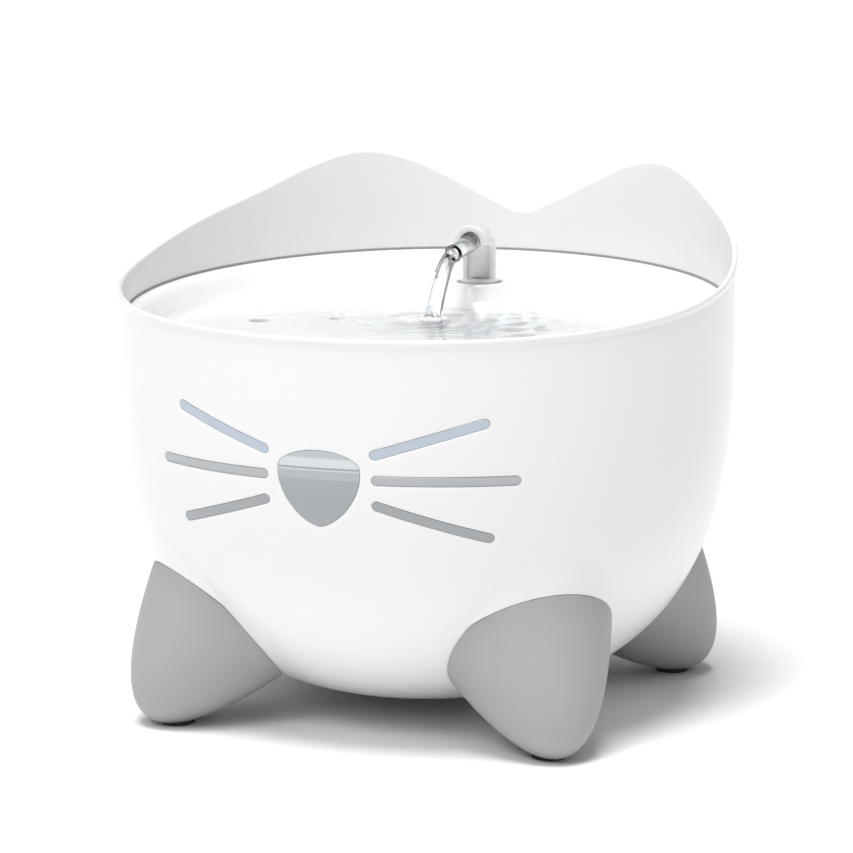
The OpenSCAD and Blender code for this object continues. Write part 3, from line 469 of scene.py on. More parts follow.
def wound_wire(name, base):
    """Enamelled wire in even turns."""
    f = Finish(name)
    wires = f.node("ShaderNodeTexWave", {"bands_direction": "X"},
                   {"Vector": f.where(), "Scale": 420.0, "Distortion": 0.4})
    return f.surface(f.mixed(wires, [c * 0.55 for c in base], base), Roughness=0.3, Metallic=0.6,
                     Coat_Weight=0.5, Normal=f.bump(wires, 0.8, 0.0001))


# ---- shapes of the bowl

CURVE_N, CURVE_M = 3.4, 2.09      # the superellipse's powers, by height and by radius
# degrees from straight back, and the share of the ears' rise there
EAR_KNOTS = np.array([[0, 0.415], [8, 0.564], [16, 0.759], [24, 0.927], [33, 1], [42, 0.9], [55, 0.661],
                      [70, 0.454], [90, 0.223], [110, 0.1], [135, 0.024], [180, 0]])
NOSE = SimpleNamespace(height=95.3, size=14.5, corners=1.45, squash=0.9)
WHISKER_HALF = 1.75
WHISKERS = [((17.6, 105.6), (54.7, 117.1)), ((18.0, 97.6), (63.2, 97.2)), ((17.9, 89.5), (54.8, 77.4))]
OPENINGS = 1 + 2 * len(WHISKERS)


def wall_radius(b, z, grow=0.0):
    """Radius of the bowl at a height: a superellipse from the flat underside to the upright wall."""
    t = np.clip((b.lift + b.curve - z) / (b.curve + grow), 0, 1)
    return b.flat + (b.radius + grow - b.flat) * (1 - t ** CURVE_N) ** (1 / CURVE_M)


def wall_slope(b, z, span=0.1):
    """How fast the wall's radius grows with its height."""
    return (wall_radius(b, z + span / 2) - wall_radius(b, z - span / 2)) / span


def wall_point(b, angle, z, depth):
    """Point at a depth behind the bowl's outer surface, along the surface's normal."""
    r, slope = wall_radius(b, z), wall_slope(b, z)
    n = 1 / np.sqrt(1 + slope ** 2)
    r, z = r - depth * n, z + depth * slope * n
    return np.stack([r * np.cos(angle), r * np.sin(angle), z], -1)


def rim_height(b, angle):
    """Height of the rim: a smooth curve through the ears' heights, by angle from straight back."""
    a = np.degrees(np.abs(np.angle(np.exp(1j * (angle - np.pi / 2)))))
    k, v = EAR_KNOTS.T
    slope = np.concatenate([[0], (v[2:] - v[:-2]) / (k[2:] - k[:-2]), [0]])
    i = np.clip(np.searchsorted(k, a, side="right") - 1, 0, len(k) - 2)
    w = k[i + 1] - k[i]
    t = (a - k[i]) / w
    share = ((2 * t ** 3 - 3 * t ** 2 + 1) * v[i] + (t ** 3 - 2 * t ** 2 + t) * w * slope[i]
             + (3 * t ** 2 - 2 * t ** 3) * v[i + 1] + (t ** 3 - t ** 2) * w * slope[i + 1])
    return b.rim + b.ears * share


def nose_loop(grow, count=84):
    """Rounded triangle: along each direction v its edge is size + corners cos 3v from the centre."""
    v = turns(count)
    turn = 3 * (v - 1.5 * np.pi)
    h, dh = NOSE.size + grow + NOSE.corners * np.cos(turn), -3 * NOSE.corners * np.sin(turn)
    up = h * np.sin(v) + dh * np.cos(v)
    return np.stack([h * np.cos(v) - dh * np.sin(v), NOSE.height + NOSE.squash * up], 1)


def whisker_loop(start, end, grow, sides=24, caps=12):
    """A bar with round ends from tip to tip."""
    start, end = np.array(start), np.array(end)
    run = unit(end - start)
    side = np.array([-run[1], run[0]])
    a, b = start + WHISKER_HALF * run, end - WHISKER_HALF * run
    w = WHISKER_HALF + grow
    t = np.linspace(0, 1, sides, endpoint=False)[:, None]
    c = (np.pi * np.arange(caps) / caps)[:, None]
    cap = w * (np.sin(c) * run - np.cos(c) * side)
    return np.concatenate([a - w * side + t * (b - a), b + cap, b + w * side + t * (a - b), a - cap])


def face_loops(grow):
    """The nose and the whiskers, seen from the front, in (x, z)."""
    out = [nose_loop(grow)]
    for s, e in WHISKERS:
        bar = whisker_loop(s, e, grow)
        out += [bar, bar * [-1, 1]]
    return out


def unrolled(b, loop):
    """Front view (x, z) to the wall's own flat coordinates: arc length from the front, and height."""
    return np.stack([b.radius * np.arcsin(loop[:, 0] / wall_radius(b, loop[:, 1])), loop[:, 1]], 1)


def wall_patch(b, flat, depth):
    """Flat wall coordinates and a depth, to points in space."""
    return wall_point(b, FRONT + flat[:, 0] / b.radius, flat[:, 1], depth)


def wall_ribbon(b, loop, depths):
    """The side of an opening or of a raised part: its loop at several depths."""
    return np.stack([wall_patch(b, loop, depth) for depth in depths])


COLUMNS = 288
PATCH_HALF = 31               # columns on each side of the front that the windows take
PATCH_LOW, PATCH_HIGH = 72, 122
# the openings' rolled edges: how far they stand out from the opening, and how deep they lie
ROLLED = [(-0.08, 0.30), (0.02, 0.12), (0.16, 0.03), (0.4, 0.0)]
# the rim's section from outside to inside: a share of the lip's overhang or, below 0, of the wall,
# and the height from the top
LIP = np.array([[0.033, -3.2], [0.156, -2.75], [0.4, -2.3], [0.689, -1.9], [0.911, -1.5], [1, -1.1],
                [0.933, -0.7], [0.689, -0.34], [0.333, -0.1], [0, 0], [-0.136, 0], [-0.273, -0.06],
                [-0.432, -0.2], [-0.568, -0.42], [-0.659, -0.72], [-0.695, -1.1]])
LIP_OUT, LIP_IN = 3.4, 1.3    # how far below the rim the plain wall ends on each side
THINNED = 0.3                 # share of the wall that is gone at the rim


def outer_wall(b, spacing=2.1, top=131, steep=40):
    """Radii and heights at even spacing up the outside, to below the crown, and the normals there.

    Below the steep height the normals come from the points, and above it from the wall's slope."""
    def along(u):
        """Radius and height at the superellipse's angle u, from 90 degrees at the underside to 0."""
        return (b.flat + (b.radius - b.flat) * np.cos(u).clip(0) ** (2 / CURVE_M),
                b.lift + b.curve - b.curve * np.sin(u) ** (2 / CURVE_N))

    u = np.radians(np.linspace(90, 0, 120))
    r, z = along(u)
    arc = np.concatenate([[0], np.cumsum(np.hypot(np.diff(r), np.diff(z)))])
    r, z = along(np.radians(np.interp(np.arange(0, arc[-1], spacing), arc, np.degrees(u))))
    r, z = r[z < top], z[z < top]
    run = np.stack([np.gradient(r), np.gradient(z)], 1)
    run[0] = 1, 0
    normals = unit(run[:, ::-1] * [1, -1])
    by_slope = unit(np.stack([1 + 0 * z, -wall_slope(b, z)], 1))
    return np.stack([r, z], 1), np.where(z[:, None] > steep, by_slope, normals)


def bowl_section(b, outer, normals, dish_edge, angle):
    """Radius and height along the section, for each angle: from the middle of the underside up
    the wall, over the rim and down the inside. Above the dish's edge the wall thins to the rim."""
    start, top = outer[-1, 1], rim_height(b, angle)
    t = np.linspace(0, 1, 16)[1:, None]
    up, down = start + (top - LIP_OUT - start) * t, start + (top - LIP_IN - start) * t[::-1]
    thin = THINNED * np.clip((down - dish_edge) / (top - LIP_IN - dish_edge), 0, 1) ** 2
    lip = LIP[:, :1] * np.where(LIP[:, :1] > 0, b.lip, b.wall)
    half, floor = b.flat / 2, b.lift + b.wall

    def level(profile):
        """The same profile for every angle."""
        return np.repeat(np.asarray(profile)[:, None], COLUMNS, 1)

    return np.concatenate([
        level([[0, b.lift], [half, b.lift]]), level(outer),
        np.stack([wall_radius(b, up), up], -1),
        np.stack([b.radius + lip + 0 * top, top + LIP[:, 1:]], -1),
        np.stack([wall_radius(b, down) - b.wall * (1 - thin), down], -1),
        level((outer - b.wall * normals)[::-1]), level([[half, floor], [0, floor]])])


def add_face(form, b, zs, apart=1.0, inner=1.2):
    """The front of the wall, triangulated flat (arc length from the front, and height) round the
    openings, then bent: its outer side with rolled edges, its inner side, and the openings' sides."""
    xs = TAU * b.radius / COLUMNS * np.arange(-PATCH_HALF, PATCH_HALF + 1)
    across, up = np.stack([xs, 0 * xs], 1), np.stack([0 * zs, zs], 1)
    loops = [np.concatenate([across[:-1] + up[0], across[-1] + up[:-1],
                             across[:0:-1] + up[-1], across[0] + up[:0:-1]])]
    depths = [0 * loops[0][:, 0]]
    for grow, depth in ROLLED:
        for loop in face_loops(grow):
            loops.append(unrolled(b, loop))
            depths.append(np.full(len(loop), depth))
    loose = np.stack(np.meshgrid(xs[1:-1], zs[1:-1]), -1).reshape(-1, 2)
    for loop in loops[-OPENINGS:]:
        loose = loose[~inside(loose, loop) & (nearest(loose, loop) > apart)]
    flat, tris = triangulated(loops, loose)
    holes = loops[1:1 + OPENINGS]
    tris = tris[~inside(flat[tris].mean(1), *holes)]
    form.add(wall_patch(b, flat, np.concatenate([*depths, 0 * loose[:, 0]])), tris)
    form.add(wall_patch(b, flat, b.wall), tris[:, ::-1])
    for loop in holes:
        form.sheet(wall_ribbon(b, loop, (ROLLED[0][1], inner, b.wall)), loop_cols=True)


def make_bowl_wall(b, d, material):
    """The bowl: a grid by angle and by distance along its section, with its front cut out and
    triangulated round the nose and whisker openings, and the lugs and bosses inside it."""
    angle = FRONT + turns(COLUMNS)
    outer, normals = outer_wall(b)
    section = bowl_section(b, outer, normals, d.height, angle)
    r, z = section[..., 0], section[..., 1]
    faces = grid(len(section), COLUMNS, loop_cols=True)
    heights = outer[:, 1]
    low, high = np.searchsorted(heights, (PATCH_LOW, PATCH_HIGH))
    row, column = np.arange(len(faces)), np.arange(COLUMNS)
    first, last = 2, len(section) - 3       # rows of the wall's lowest points, outside and inside
    cut = ((row >= first + low) & (row < first + high)) | ((row >= last - high) & (row < last - low))
    front = (column < PATCH_HALF) | (column >= COLUMNS - PATCH_HALF)
    form = Form().add(np.stack([r * np.cos(angle), r * np.sin(angle), z], -1), faces[~(cut[:, None] & front)])
    add_face(form, b, heights[low:high + 1])
    add_inner_blocks(form, d)
    return form.make("bowl_wall", material, crease=50)


def block(centre, along, half, low, high, edge=0.5, cols=32, power=8):
    """A block with rolled edges, rounded like a superellipse: half sizes along and across, from a
    low to a high level."""
    v = turns(cols) + np.pi / cols
    square = np.stack([np.cos(v), np.sin(v)], 1)
    square = square / (np.abs(square) ** power).sum(1, keepdims=True) ** (1 / power)
    axes = np.array([along, [-along[1], along[0]]])
    rows = []
    for inset, level in [(half[0], low), (edge, low), (0, low + edge), (0, high - edge),
                         (0.3 * edge, high - 0.3 * edge), (edge, high), (half[0], high)]:
        flat = centre + (square * np.maximum(np.array(half) - inset, 0.01)) @ axes
        rows.append(np.column_stack([flat, np.full(cols, level)]))
    return np.stack(rows)


LUG = SimpleNamespace(place=103.6, half=(2.6, 4.0), tall=7, below=5.3)
BOSS = SimpleNamespace(place=26, centre=12, radius=5, foot=7.5, top=14.0, bevel=0.4)


def add_inner_blocks(form, d):
    """Lugs inside the wall that carry the dish's sloping edge, and bosses that the filter stands on."""
    for a in np.radians(np.arange(22.5, 360, 45)):
        out = np.array([np.cos(a), np.sin(a)])
        top = d.height + d.radius * np.sin(a) * np.tan(np.radians(d.tilt)) - LUG.below
        form.sheet(block(out * LUG.place, out, LUG.half, top - LUG.tall, top), loop_cols=True)
    side, near = BOSS.radius, 0.01
    boss = [[near, BOSS.foot], [side, BOSS.foot], [side, BOSS.top - BOSS.bevel],
            [side - BOSS.bevel, BOSS.top], [near, BOSS.top]]
    for a in np.radians(np.arange(45, 360, 90)):
        middle = BOSS.place * np.cos(a), BOSS.centre + BOSS.place * np.sin(a)
        form.sheet(turned(boss, 40, middle), loop_cols=True)


# ---- feet and the shoulders above them

FOOT_ANGLES = {"foot_front_left": -135, "foot_front_right": -45, "foot_rear_left": 140, "foot_rear_right": 40}
FOOT = SimpleNamespace(gap=0.25, roll=0.45, slot_place=8, slot_half=2.5, slot_deep=9)
SHOULDER = SimpleNamespace(longest=16.0, fillet=3.6, share=0.55, pull=0.6, sunk=0.12, tail=2.0)


def foot_axes(f, degrees):
    """Middle of a foot's top edge, and its axes: towards the bowl, sideways, and down to the tip."""
    a, lean = np.radians(degrees), np.radians(f.lean)
    out, side = np.array([np.cos(a), np.sin(a), 0]), np.array([-np.sin(a), np.cos(a), 0])
    up = np.array([0, 0, 1.0])
    return (f.place * out + f.height * up, -np.cos(lean) * out - np.sin(lean) * up, side,
            np.sin(lean) * out - np.cos(lean) * up)


def clearance(b, p, grow=0.0):
    """How far points lie outside the bowl, measured level; negative inside it."""
    z = p[..., 2]
    return np.where(z < b.lift - grow, 99.0, np.hypot(p[..., 0], p[..., 1]) - wall_radius(b, z, grow))


def crossing(test, low, high, steps=34):
    """Halves the gap between low, where the test holds, and high, where it doesn't, on whole arrays."""
    for _ in range(steps):
        mid = (low + high) / 2
        ok = test(mid)
        low, high = np.where(ok, mid, low), np.where(ok, high, mid)
    return (low + high) / 2


def make_foot(b, f, name, degrees, material, cols=400):
    """A foot cover: a paraboloid shell, cut where it meets the bowl, with a rolled edge.

    Its points are middle + length (1 - k k) along the axis + radius k around it, with k from the
    cut, found by halving, to 0 at the tip. Two slots are cut in the edge on the side of the bowl."""
    middle, x, y, axis = foot_axes(f, degrees)
    turn = turns(cols)
    around = np.cos(turn)[:, None] * x + np.sin(turn)[:, None] * y

    def at(k, inset=0.0):
        """Points of the paraboloid at the shares k of its radius, or of the one inside it."""
        along, out = (f.reach - inset) * (1 - k ** 2), (f.radius - inset) * k
        return middle + along[..., None] * axis + out[..., None] * around

    top = 0 * turn + np.sqrt(1 - FOOT.gap / f.reach)
    cut = crossing(lambda k: clearance(b, at(k), FOOT.gap) > 0, 0 * turn, top)
    across = f.radius * cut * np.sin(turn)
    slot = (np.abs(np.abs(across) - FOOT.slot_place) < FOOT.slot_half) & (np.cos(turn) > 0)
    cut = np.where(slot, np.minimum(cut, np.sqrt(1 - FOOT.slot_deep / f.reach)), cut)
    edge = at(cut)
    down = unit(at(cut - 0.01) - edge)
    inward = np.cross(np.cross(axis, around), down)
    inward = unit(inward * -np.sign((inward * around).sum(1, keepdims=True)))
    a = np.radians(np.linspace(90, 0, 7))[:, None, None]
    lip = edge + FOOT.roll * ((1 - np.cos(a)) * inward + (1 - np.sin(a)) * down)
    start = crossing(lambda k: ((at(k) - edge) * down).sum(1) > FOOT.roll, 0 * turn, cut)
    skin = at(start * np.linspace(1, 0, 46)[1:, None])
    inner = at(np.minimum(cut, 0.995) * np.linspace(0.94, 0, 20)[:, None], f.wall)
    edge_in = lip[0] + inward * (f.wall - FOOT.roll) * 0.8
    form = Form().sheet(np.concatenate([inner[::-1], edge_in[None], lip, skin]), loop_cols=True)
    return form.make(name + "_cover", material, crease=35)


def make_shoulders(b, f, material, cols=481):
    """White flares from the feet's top edges to the bowl.

    Each is a cone that opens at 45 degrees, carried to where it meets the bowl, and a Bezier
    curve that turns it into the bowl's surface. Where a foot's edge lies in the bowl, so does it."""
    form = Form()
    for degrees in FOOT_ANGLES.values():
        middle, x, y, axis = foot_axes(f, degrees)
        turn = np.linspace(0, TAU, cols)
        around = np.cos(turn)[:, None] * x + np.sin(turn)[:, None] * y
        edge = middle + f.radius * around
        way = (around - axis) / np.sqrt(2)
        s = crossing(lambda q: clearance(b, edge + q[:, None] * way) > 0, 0 * turn,
                     0 * turn + SHOULDER.longest)[:, None]
        fillet = np.minimum(SHOULDER.fillet, SHOULDER.share * s)
        hit = edge + s * way
        level = hit[:, :2] / np.hypot(hit[:, :1], hit[:, 1:2])
        normal = unit(np.concatenate([level, -wall_slope(b, hit[:, 2:])], 1))
        flow = unit(way - (way * normal).sum(1, keepdims=True) * normal)
        p0, p3 = hit - fillet * way, hit + fillet * flow - SHOULDER.sunk * normal
        pull = SHOULDER.pull * fillet
        curve = bezier(p0, p0 + pull * way, p3 - pull * flow, p3, np.linspace(0, 1, 12)[1:, None, None])
        cone = edge + np.linspace(0, 1, 8)[:, None, None] * (s - fillet) * way
        under = [middle + (f.radius - inset) * around - rise * axis
                 for inset, rise in ((4, 0), (0.25, 0), (0.07, 0.05))]
        tail = curve[-1] - SHOULDER.tail * normal
        form.sheet(np.concatenate([np.stack(under), cone, curve, tail[None]]), loop_cols=True)
    return form.make("leg_shoulders", material, crease=50)


# ---- dish

PEDESTAL = SimpleNamespace(top=140.08, top_r=10.2, slope=10.4 / 6, socket=8.4, tube=8.26, fillet=3.0)
# radius and height: the bore under the pedestal, its stem for the hose, and the stem's outside
STEM = [[8.4, 137.3], [8.2, 137.08], [6.06, 137.08], [6.06, 120.78], [3, 120.78], [3, 111.08],
        [4.3, 111.08], [4.5, 111.3], [4.5, 118.08], [8.0, 118.08], [8.26, 118.34]]
DRAINS = [(64, 2, 3.6), (38.5, 12.5, 3), (66, -21, 4.8), (49, -25, 2.6)]      # x, y and radius
EDGE_COLS, SOCKET_COLS, DRAIN_COLS = 240, 96, 40
BANK = SimpleNamespace(flat=3, wide=10, round=0.7)     # the dish's rise inside its edge


def away(p, x=0, y=0):
    """Distance of flat points from (x, y)."""
    return np.hypot(p[:, 0] - x, p[:, 1] - y)


def dish_height(d, p, spout_y, pedestal=True):
    """Height of the dish's upper side at (x, y): the sloping dish, and the pedestal that grows out of it."""
    r = away(p)
    rise = np.clip((d.radius - BANK.flat - r) / BANK.wide, 0, 1)
    edge = np.clip((r - (d.radius - BANK.round)) / BANK.round, 0, 1)
    z = d.height + p[:, 1] * np.tan(np.radians(d.tilt)) - d.depth * (1 - np.cos(np.pi * rise)) / 2 \
        - BANK.round * (1 - np.sqrt(1 - 0.98 * edge ** 2))
    if pedestal:
        q = away(p, 0, spout_y) - PEDESTAL.top_r
        cone = PEDESTAL.top - PEDESTAL.slope * (q + np.sqrt(q ** 2 + 0.09)) / 2
        z = np.where(q < 16, (z + cone + np.sqrt((z - cone) ** 2 + PEDESTAL.fillet)) / 2, z)
        z = np.where(q < -0.5, PEDESTAL.top - 0.02, z)
    return z


def make_dish(d, s, material, near=26):
    """The dish: heights over a flat triangulation of rings round its middle, its pedestal and its
    holes. Every loop has its own sinking, which rolls the edges of the holes and of the socket."""
    axis = (0, s.place)
    drains = [(side * x, y, r) for side in (-1, 1) for x, y, r in DRAINS]
    skirt = d.radius - d.thickness
    rings = [(0, 0, d.radius, EDGE_COLS, 0), (0, 0, skirt, EDGE_COLS, 0),
             (*axis, PEDESTAL.socket, SOCKET_COLS, 0.3), (*axis, PEDESTAL.tube, SOCKET_COLS, 0)]
    rings += [(x, y, r + grow, DRAIN_COLS, sink)
              for grow, sink in [(0, 0.4), (0.15, 0.14), (0.4, 0.03), (0.8, 0)] for x, y, r in drains]
    rings += [(*axis, r, SOCKET_COLS, sink) for r, sink in [(8.5, 0.1), (8.7, 0.02), (9.2, 0)]]
    loops = [circle(*ring[:4]) for ring in rings]
    wide = [(r, max(12, int(r * 1.6))) for r in np.arange(3, 90, 3.0)] + [(r, 200) for r in range(91, 103)]
    wide += [(r, EDGE_COLS) for r in (103.8, 104.3, 104.55, 104.75, 104.9)]
    loose = np.concatenate([circle(0, 0, r, count) for r, count in wide])
    loose = loose[away(loose, *axis) > near]
    for r in [*np.arange(9.6, 18, 0.42), *np.arange(18.5, near, 1.0)]:
        loose = np.concatenate([loose, circle(*axis, r, SOCKET_COLS)])
    for x, y, r in drains:
        loose = loose[away(loose, x, y) > r + 1.6]
    flat, tris = triangulated(loops, loose)
    sink = np.concatenate([*(np.full(*ring[3:]) for ring in rings), 0 * loose[:, 0]])
    top = np.column_stack([flat, dish_height(d, flat, s.place) - sink])
    under = np.column_stack([flat, dish_height(d, flat, s.place, False) - 1.1 * d.thickness])
    middle = flat[tris].mean(1)

    def within(x, y, r, count):
        """True for the triangles inside a ring, measured to the middles of its straight sides."""
        return away(middle, x, y) < r * np.cos(np.pi / count)

    holes = np.any([within(*drain, DRAIN_COLS) for drain in drains], 0)
    _, beyond, socket, tube = (within(*ring[:4]) for ring in rings[:4])
    form = Form().add(top, tris[~holes & ~socket]).add(under, tris[~holes & ~tube & beyond][:, ::-1])
    slope = np.tan(np.radians(d.tilt))

    def level(r, below):
        """A circle on the edge's sloping plane, or below it."""
        c = circle(0, 0, r, EDGE_COLS)
        return np.column_stack([c, d.height + c[:, 1] * slope - below])

    ends = np.cumsum([0] + [len(loop) for loop in loops])
    rows = [slice(start, end) for start, end in zip(ends[:-1], ends[1:])]
    sides = [(d.radius, 2), (d.radius, 4.8), (d.radius - 0.2, 5), (skirt + 0.2, 5), (skirt, 4.8)]
    form.sheet(np.stack([top[rows[0]], *(level(*side) for side in sides), under[rows[1]]]), loop_cols=True)
    for k in rows[4:4 + len(drains)]:
        form.sheet(np.stack([top[k], (top[k] + under[k]) / 2, under[k]]), loop_cols=True)
    form.sheet(np.concatenate([top[rows[2]][None], turned(STEM, SOCKET_COLS, axis), under[rows[3]][None]]),
               loop_cols=True)
    return form.make("dish_surface", material, crease=50)


# ---- spout

HOOD = SimpleNamespace(recess=4.0, floor=0.8, lip=-2.0, lip_rise=1.15, brow=0.2, roll=0.6, foot=141.0,
                       mouth=45.9, mouth_roll=0.5)
# radius and height of the spout's stem, its two collar beads and the seat of the hood
COLLAR = [[2.3, 121.08], [5.8, 121.08], [6, 121.3], [6, 125.1], [5.2, 125.2], [5.2, 127.0], [6, 127.1],
          [6, 137.2], [6.5, 137.38], [6.5, 139.28], [6.72, 139.3], [6.86, 139.38], [6.9, 139.55],
          [6.9, 140.55], [6.84, 140.76], [6.66, 140.88], [6.4, 140.92], [6.3, 141.0], [6.26, 141.2],
          [6.1, 141.28], [3.1, 141.28], [3.1, 137.3], [2.3, 137.3]]


def hood_loop(s, beta, inset, count=26):
    """Section of the hood at an angle of its bend: a round band, open in front, with rolled lips.

    It runs round the outside from one lip to the other, then back along the recess. Rows are
    (sideways, outwards from the bend)."""
    big, half = s.radius - inset, HOOD.recess + inset
    lip_w = HOOD.lip + HOOD.lip_rise * np.sin(beta) ** 2 + 0.5 * inset
    side = np.linspace(0, np.arccos(lip_w / big) - HOOD.roll / big, count)
    out = np.stack([big * np.sin(side), big * np.cos(side)], 1)
    cosb, sinb = max(np.cos(beta), 1e-4), max(np.sin(beta), 1e-4)
    floor_w = (s.bend - HOOD.floor) / cosb - s.bend + inset
    wall_end = min(s.bend / sinb - s.bend, floor_w)
    last = np.arcsin(np.clip(((floor_w + s.bend) * sinb - s.bend) / half, 0, 1))
    brow, corner, wall_start, wall_stop = np.array([
        [np.sqrt(big ** 2 - lip_w ** 2), lip_w - HOOD.brow], [half, lip_w - HOOD.brow],
        [half, lip_w + HOOD.roll], [half, wall_end]])
    lip = bezier(out[-1], brow, corner, wall_start, np.linspace(0, 1, 12)[1:, None])
    wall = wall_start + np.linspace(0, 1, 8)[1:, None] * (wall_stop - wall_start)
    g = np.linspace(0, last, 8)[1:]
    arch = np.stack([half * np.cos(g), (s.bend + half * np.sin(g)) / sinb - s.bend], 1)
    arch = arch if last > 0 else np.repeat(wall[-1:], len(g), 0)
    floor = arch[-1] * np.stack([np.linspace(1, 0, 8)[1:], np.ones(7)], 1)
    back = np.concatenate([lip, wall, arch, floor])
    return (np.concatenate([out[::-1] * [-1, 1], out[1:]]), np.concatenate([back, back[-2::-1] * [-1, 1]]))


def make_hood(s, material):
    """The spout's hood: a C-shaped section carried up the column, round the bend and to the mouth,
    on a turned collar and stem."""
    top_z, ahead, roll = s.axis - s.bend, np.pi / 2, HOOD.mouth_roll
    run = s.place - s.bend - HOOD.mouth - roll
    stations = [(z, 0.0, 0.0, 0.0) for z in np.linspace(HOOD.foot, top_z, 6)[:-1]]
    stations += [(top_z, beta, 0.0, 0.0) for beta in np.linspace(0, ahead, 26)]
    stations += [(top_z, ahead, forward, 0.0) for forward in np.linspace(0, run, 5)[1:]]
    stations += [(top_z, ahead, run + roll * np.sin(a), roll * (1 - np.cos(a)))
                 for a in np.radians([20, 40, 60, 80, 90])]
    rows = []
    for z, beta, forward, inset in stations:
        outer, inner = hood_loop(s, beta, inset)
        section = np.concatenate([outer, inner])
        reach = s.bend + section[:, 1]
        rows.append(np.stack([section[:, 0], s.place - s.bend + reach * np.cos(beta) - forward,
                              z + reach * np.sin(beta)], 1))
    form = Form().sheet(np.stack(rows), loop_cols=True)
    # both ends are closed by quads between the outside and the points of the recess across from them
    n, m = len(outer), len(inner)
    i, across = np.arange(n), n + m - 1 - np.linspace(0, m - 1, n).round().astype(int)
    cap = np.stack([i[:-1], i[1:], across[1:], across[:-1]], 1)
    form.add(rows[0], cap).add(rows[-1], cap[:, ::-1])
    form.sheet(turned(COLLAR, SOCKET_COLS, (0, s.place)), loop_rows=True, loop_cols=True)
    return form.make("spout_arch", material, crease=42)


def swept(path, radius_x, radius_w, cols):
    """Round section carried along a path in the middle plane; its half sizes may change on the way."""
    run = unit(np.gradient(path, axis=0))
    side = np.stack([-run[:, 1], run[:, 0]], 1)[:, None]
    a = turns(cols)
    rx, rw = (np.broadcast_to(q, len(path))[:, None] for q in (radius_x, radius_w))
    middle = path[:, None] + (rw * np.sin(a))[..., None] * side
    return np.concatenate([(rx * np.cos(a))[..., None], middle], -1)


DROOP, DROOP_POWER = 1.5, 1.6      # how far the nozzle's mouth hangs down, and how the droop grows


def nozzle_path(s, low, start, end, count):
    """Up the column's axis from a height, a quarter bend from an angle, and forwards, drooping a little."""
    top_z, back = s.axis - s.bend, s.place - s.bend
    a = np.linspace(start, np.pi / 2, 22)
    up = np.stack([np.full(16, s.place), np.linspace(low or top_z, top_z, 17)[:-1]], 1)
    bend = np.stack([back + s.bend * np.cos(a), top_z + s.bend * np.sin(a)], 1)
    y = np.linspace(back, end, count)[1:]
    out = np.stack([y, s.axis - DROOP * ((back - y) / (back - s.mouth)) ** DROOP_POWER], 1)
    return np.concatenate([up, bend, out] if low else [bend, out])


def make_nozzle(s, material, wall=0.7):
    """The clear tube from the elbow to the mouth: an outer and an inner wall, with beads round it."""
    path = nozzle_path(s, None, 1.35, s.mouth, 90)
    beads = [(0.5, 0.5, 0.26), (13.6, 0.35, 0.2), (15.4, 0.35, 0.2), (17.2, 0.5, 0.24)]
    radius = s.nozzle + sum(height * np.exp(-((path[:, 0] - s.mouth - place) / half) ** 2)
                            for place, half, height in beads)
    sides = swept(path, radius, radius, 48), swept(path, s.nozzle - wall, s.nozzle - wall, 48)[::-1]
    form = Form().sheet(np.concatenate(sides), loop_rows=True, loop_cols=True)
    return form.make("clear_nozzle", material, crease=60)


def capped(tube):
    """A tube with each end drawn together in its middle."""
    ends = [0 * row + row.mean(1, keepdims=True) for row in (tube[:1], tube[-1:])]
    return np.concatenate([ends[0], tube, ends[1]])


def make_elbow(s, material, foot=141.35, end=48.2):
    """The milky elbow that fills the hood's recess and holds the clear tube: an oval that swells
    as it bends forwards, with a rounded end."""
    path = nozzle_path(s, foot, 0.0, end, 12)
    along = np.concatenate([[0], np.cumsum(np.hypot(*np.diff(path, axis=0).T))])
    swell = smooth(np.clip((along - 14.5) / 3.5, 0, 1))
    to_end = np.clip((along[-1] - along) / 0.5, 0, 1)
    tip = 0.7 + 0.3 * np.sqrt(1 - (1 - to_end) ** 2)
    tube = swept(path, (3.86 - 0.5 * swell) * tip, (1.4 + 1.85 * swell) * tip, 56)
    return Form().sheet(capped(tube), loop_cols=True).make("nozzle_elbow", material, crease=50)


# ---- windows

PANEL = SimpleNamespace(half=66.0, low=73.3, high=120.8, corner=8.0, front=3.02, back=4.6)
PANE = SimpleNamespace(foot=-0.16, top=-0.30, edge=0.24, face=0.10, waist=1.6)     # the raised parts


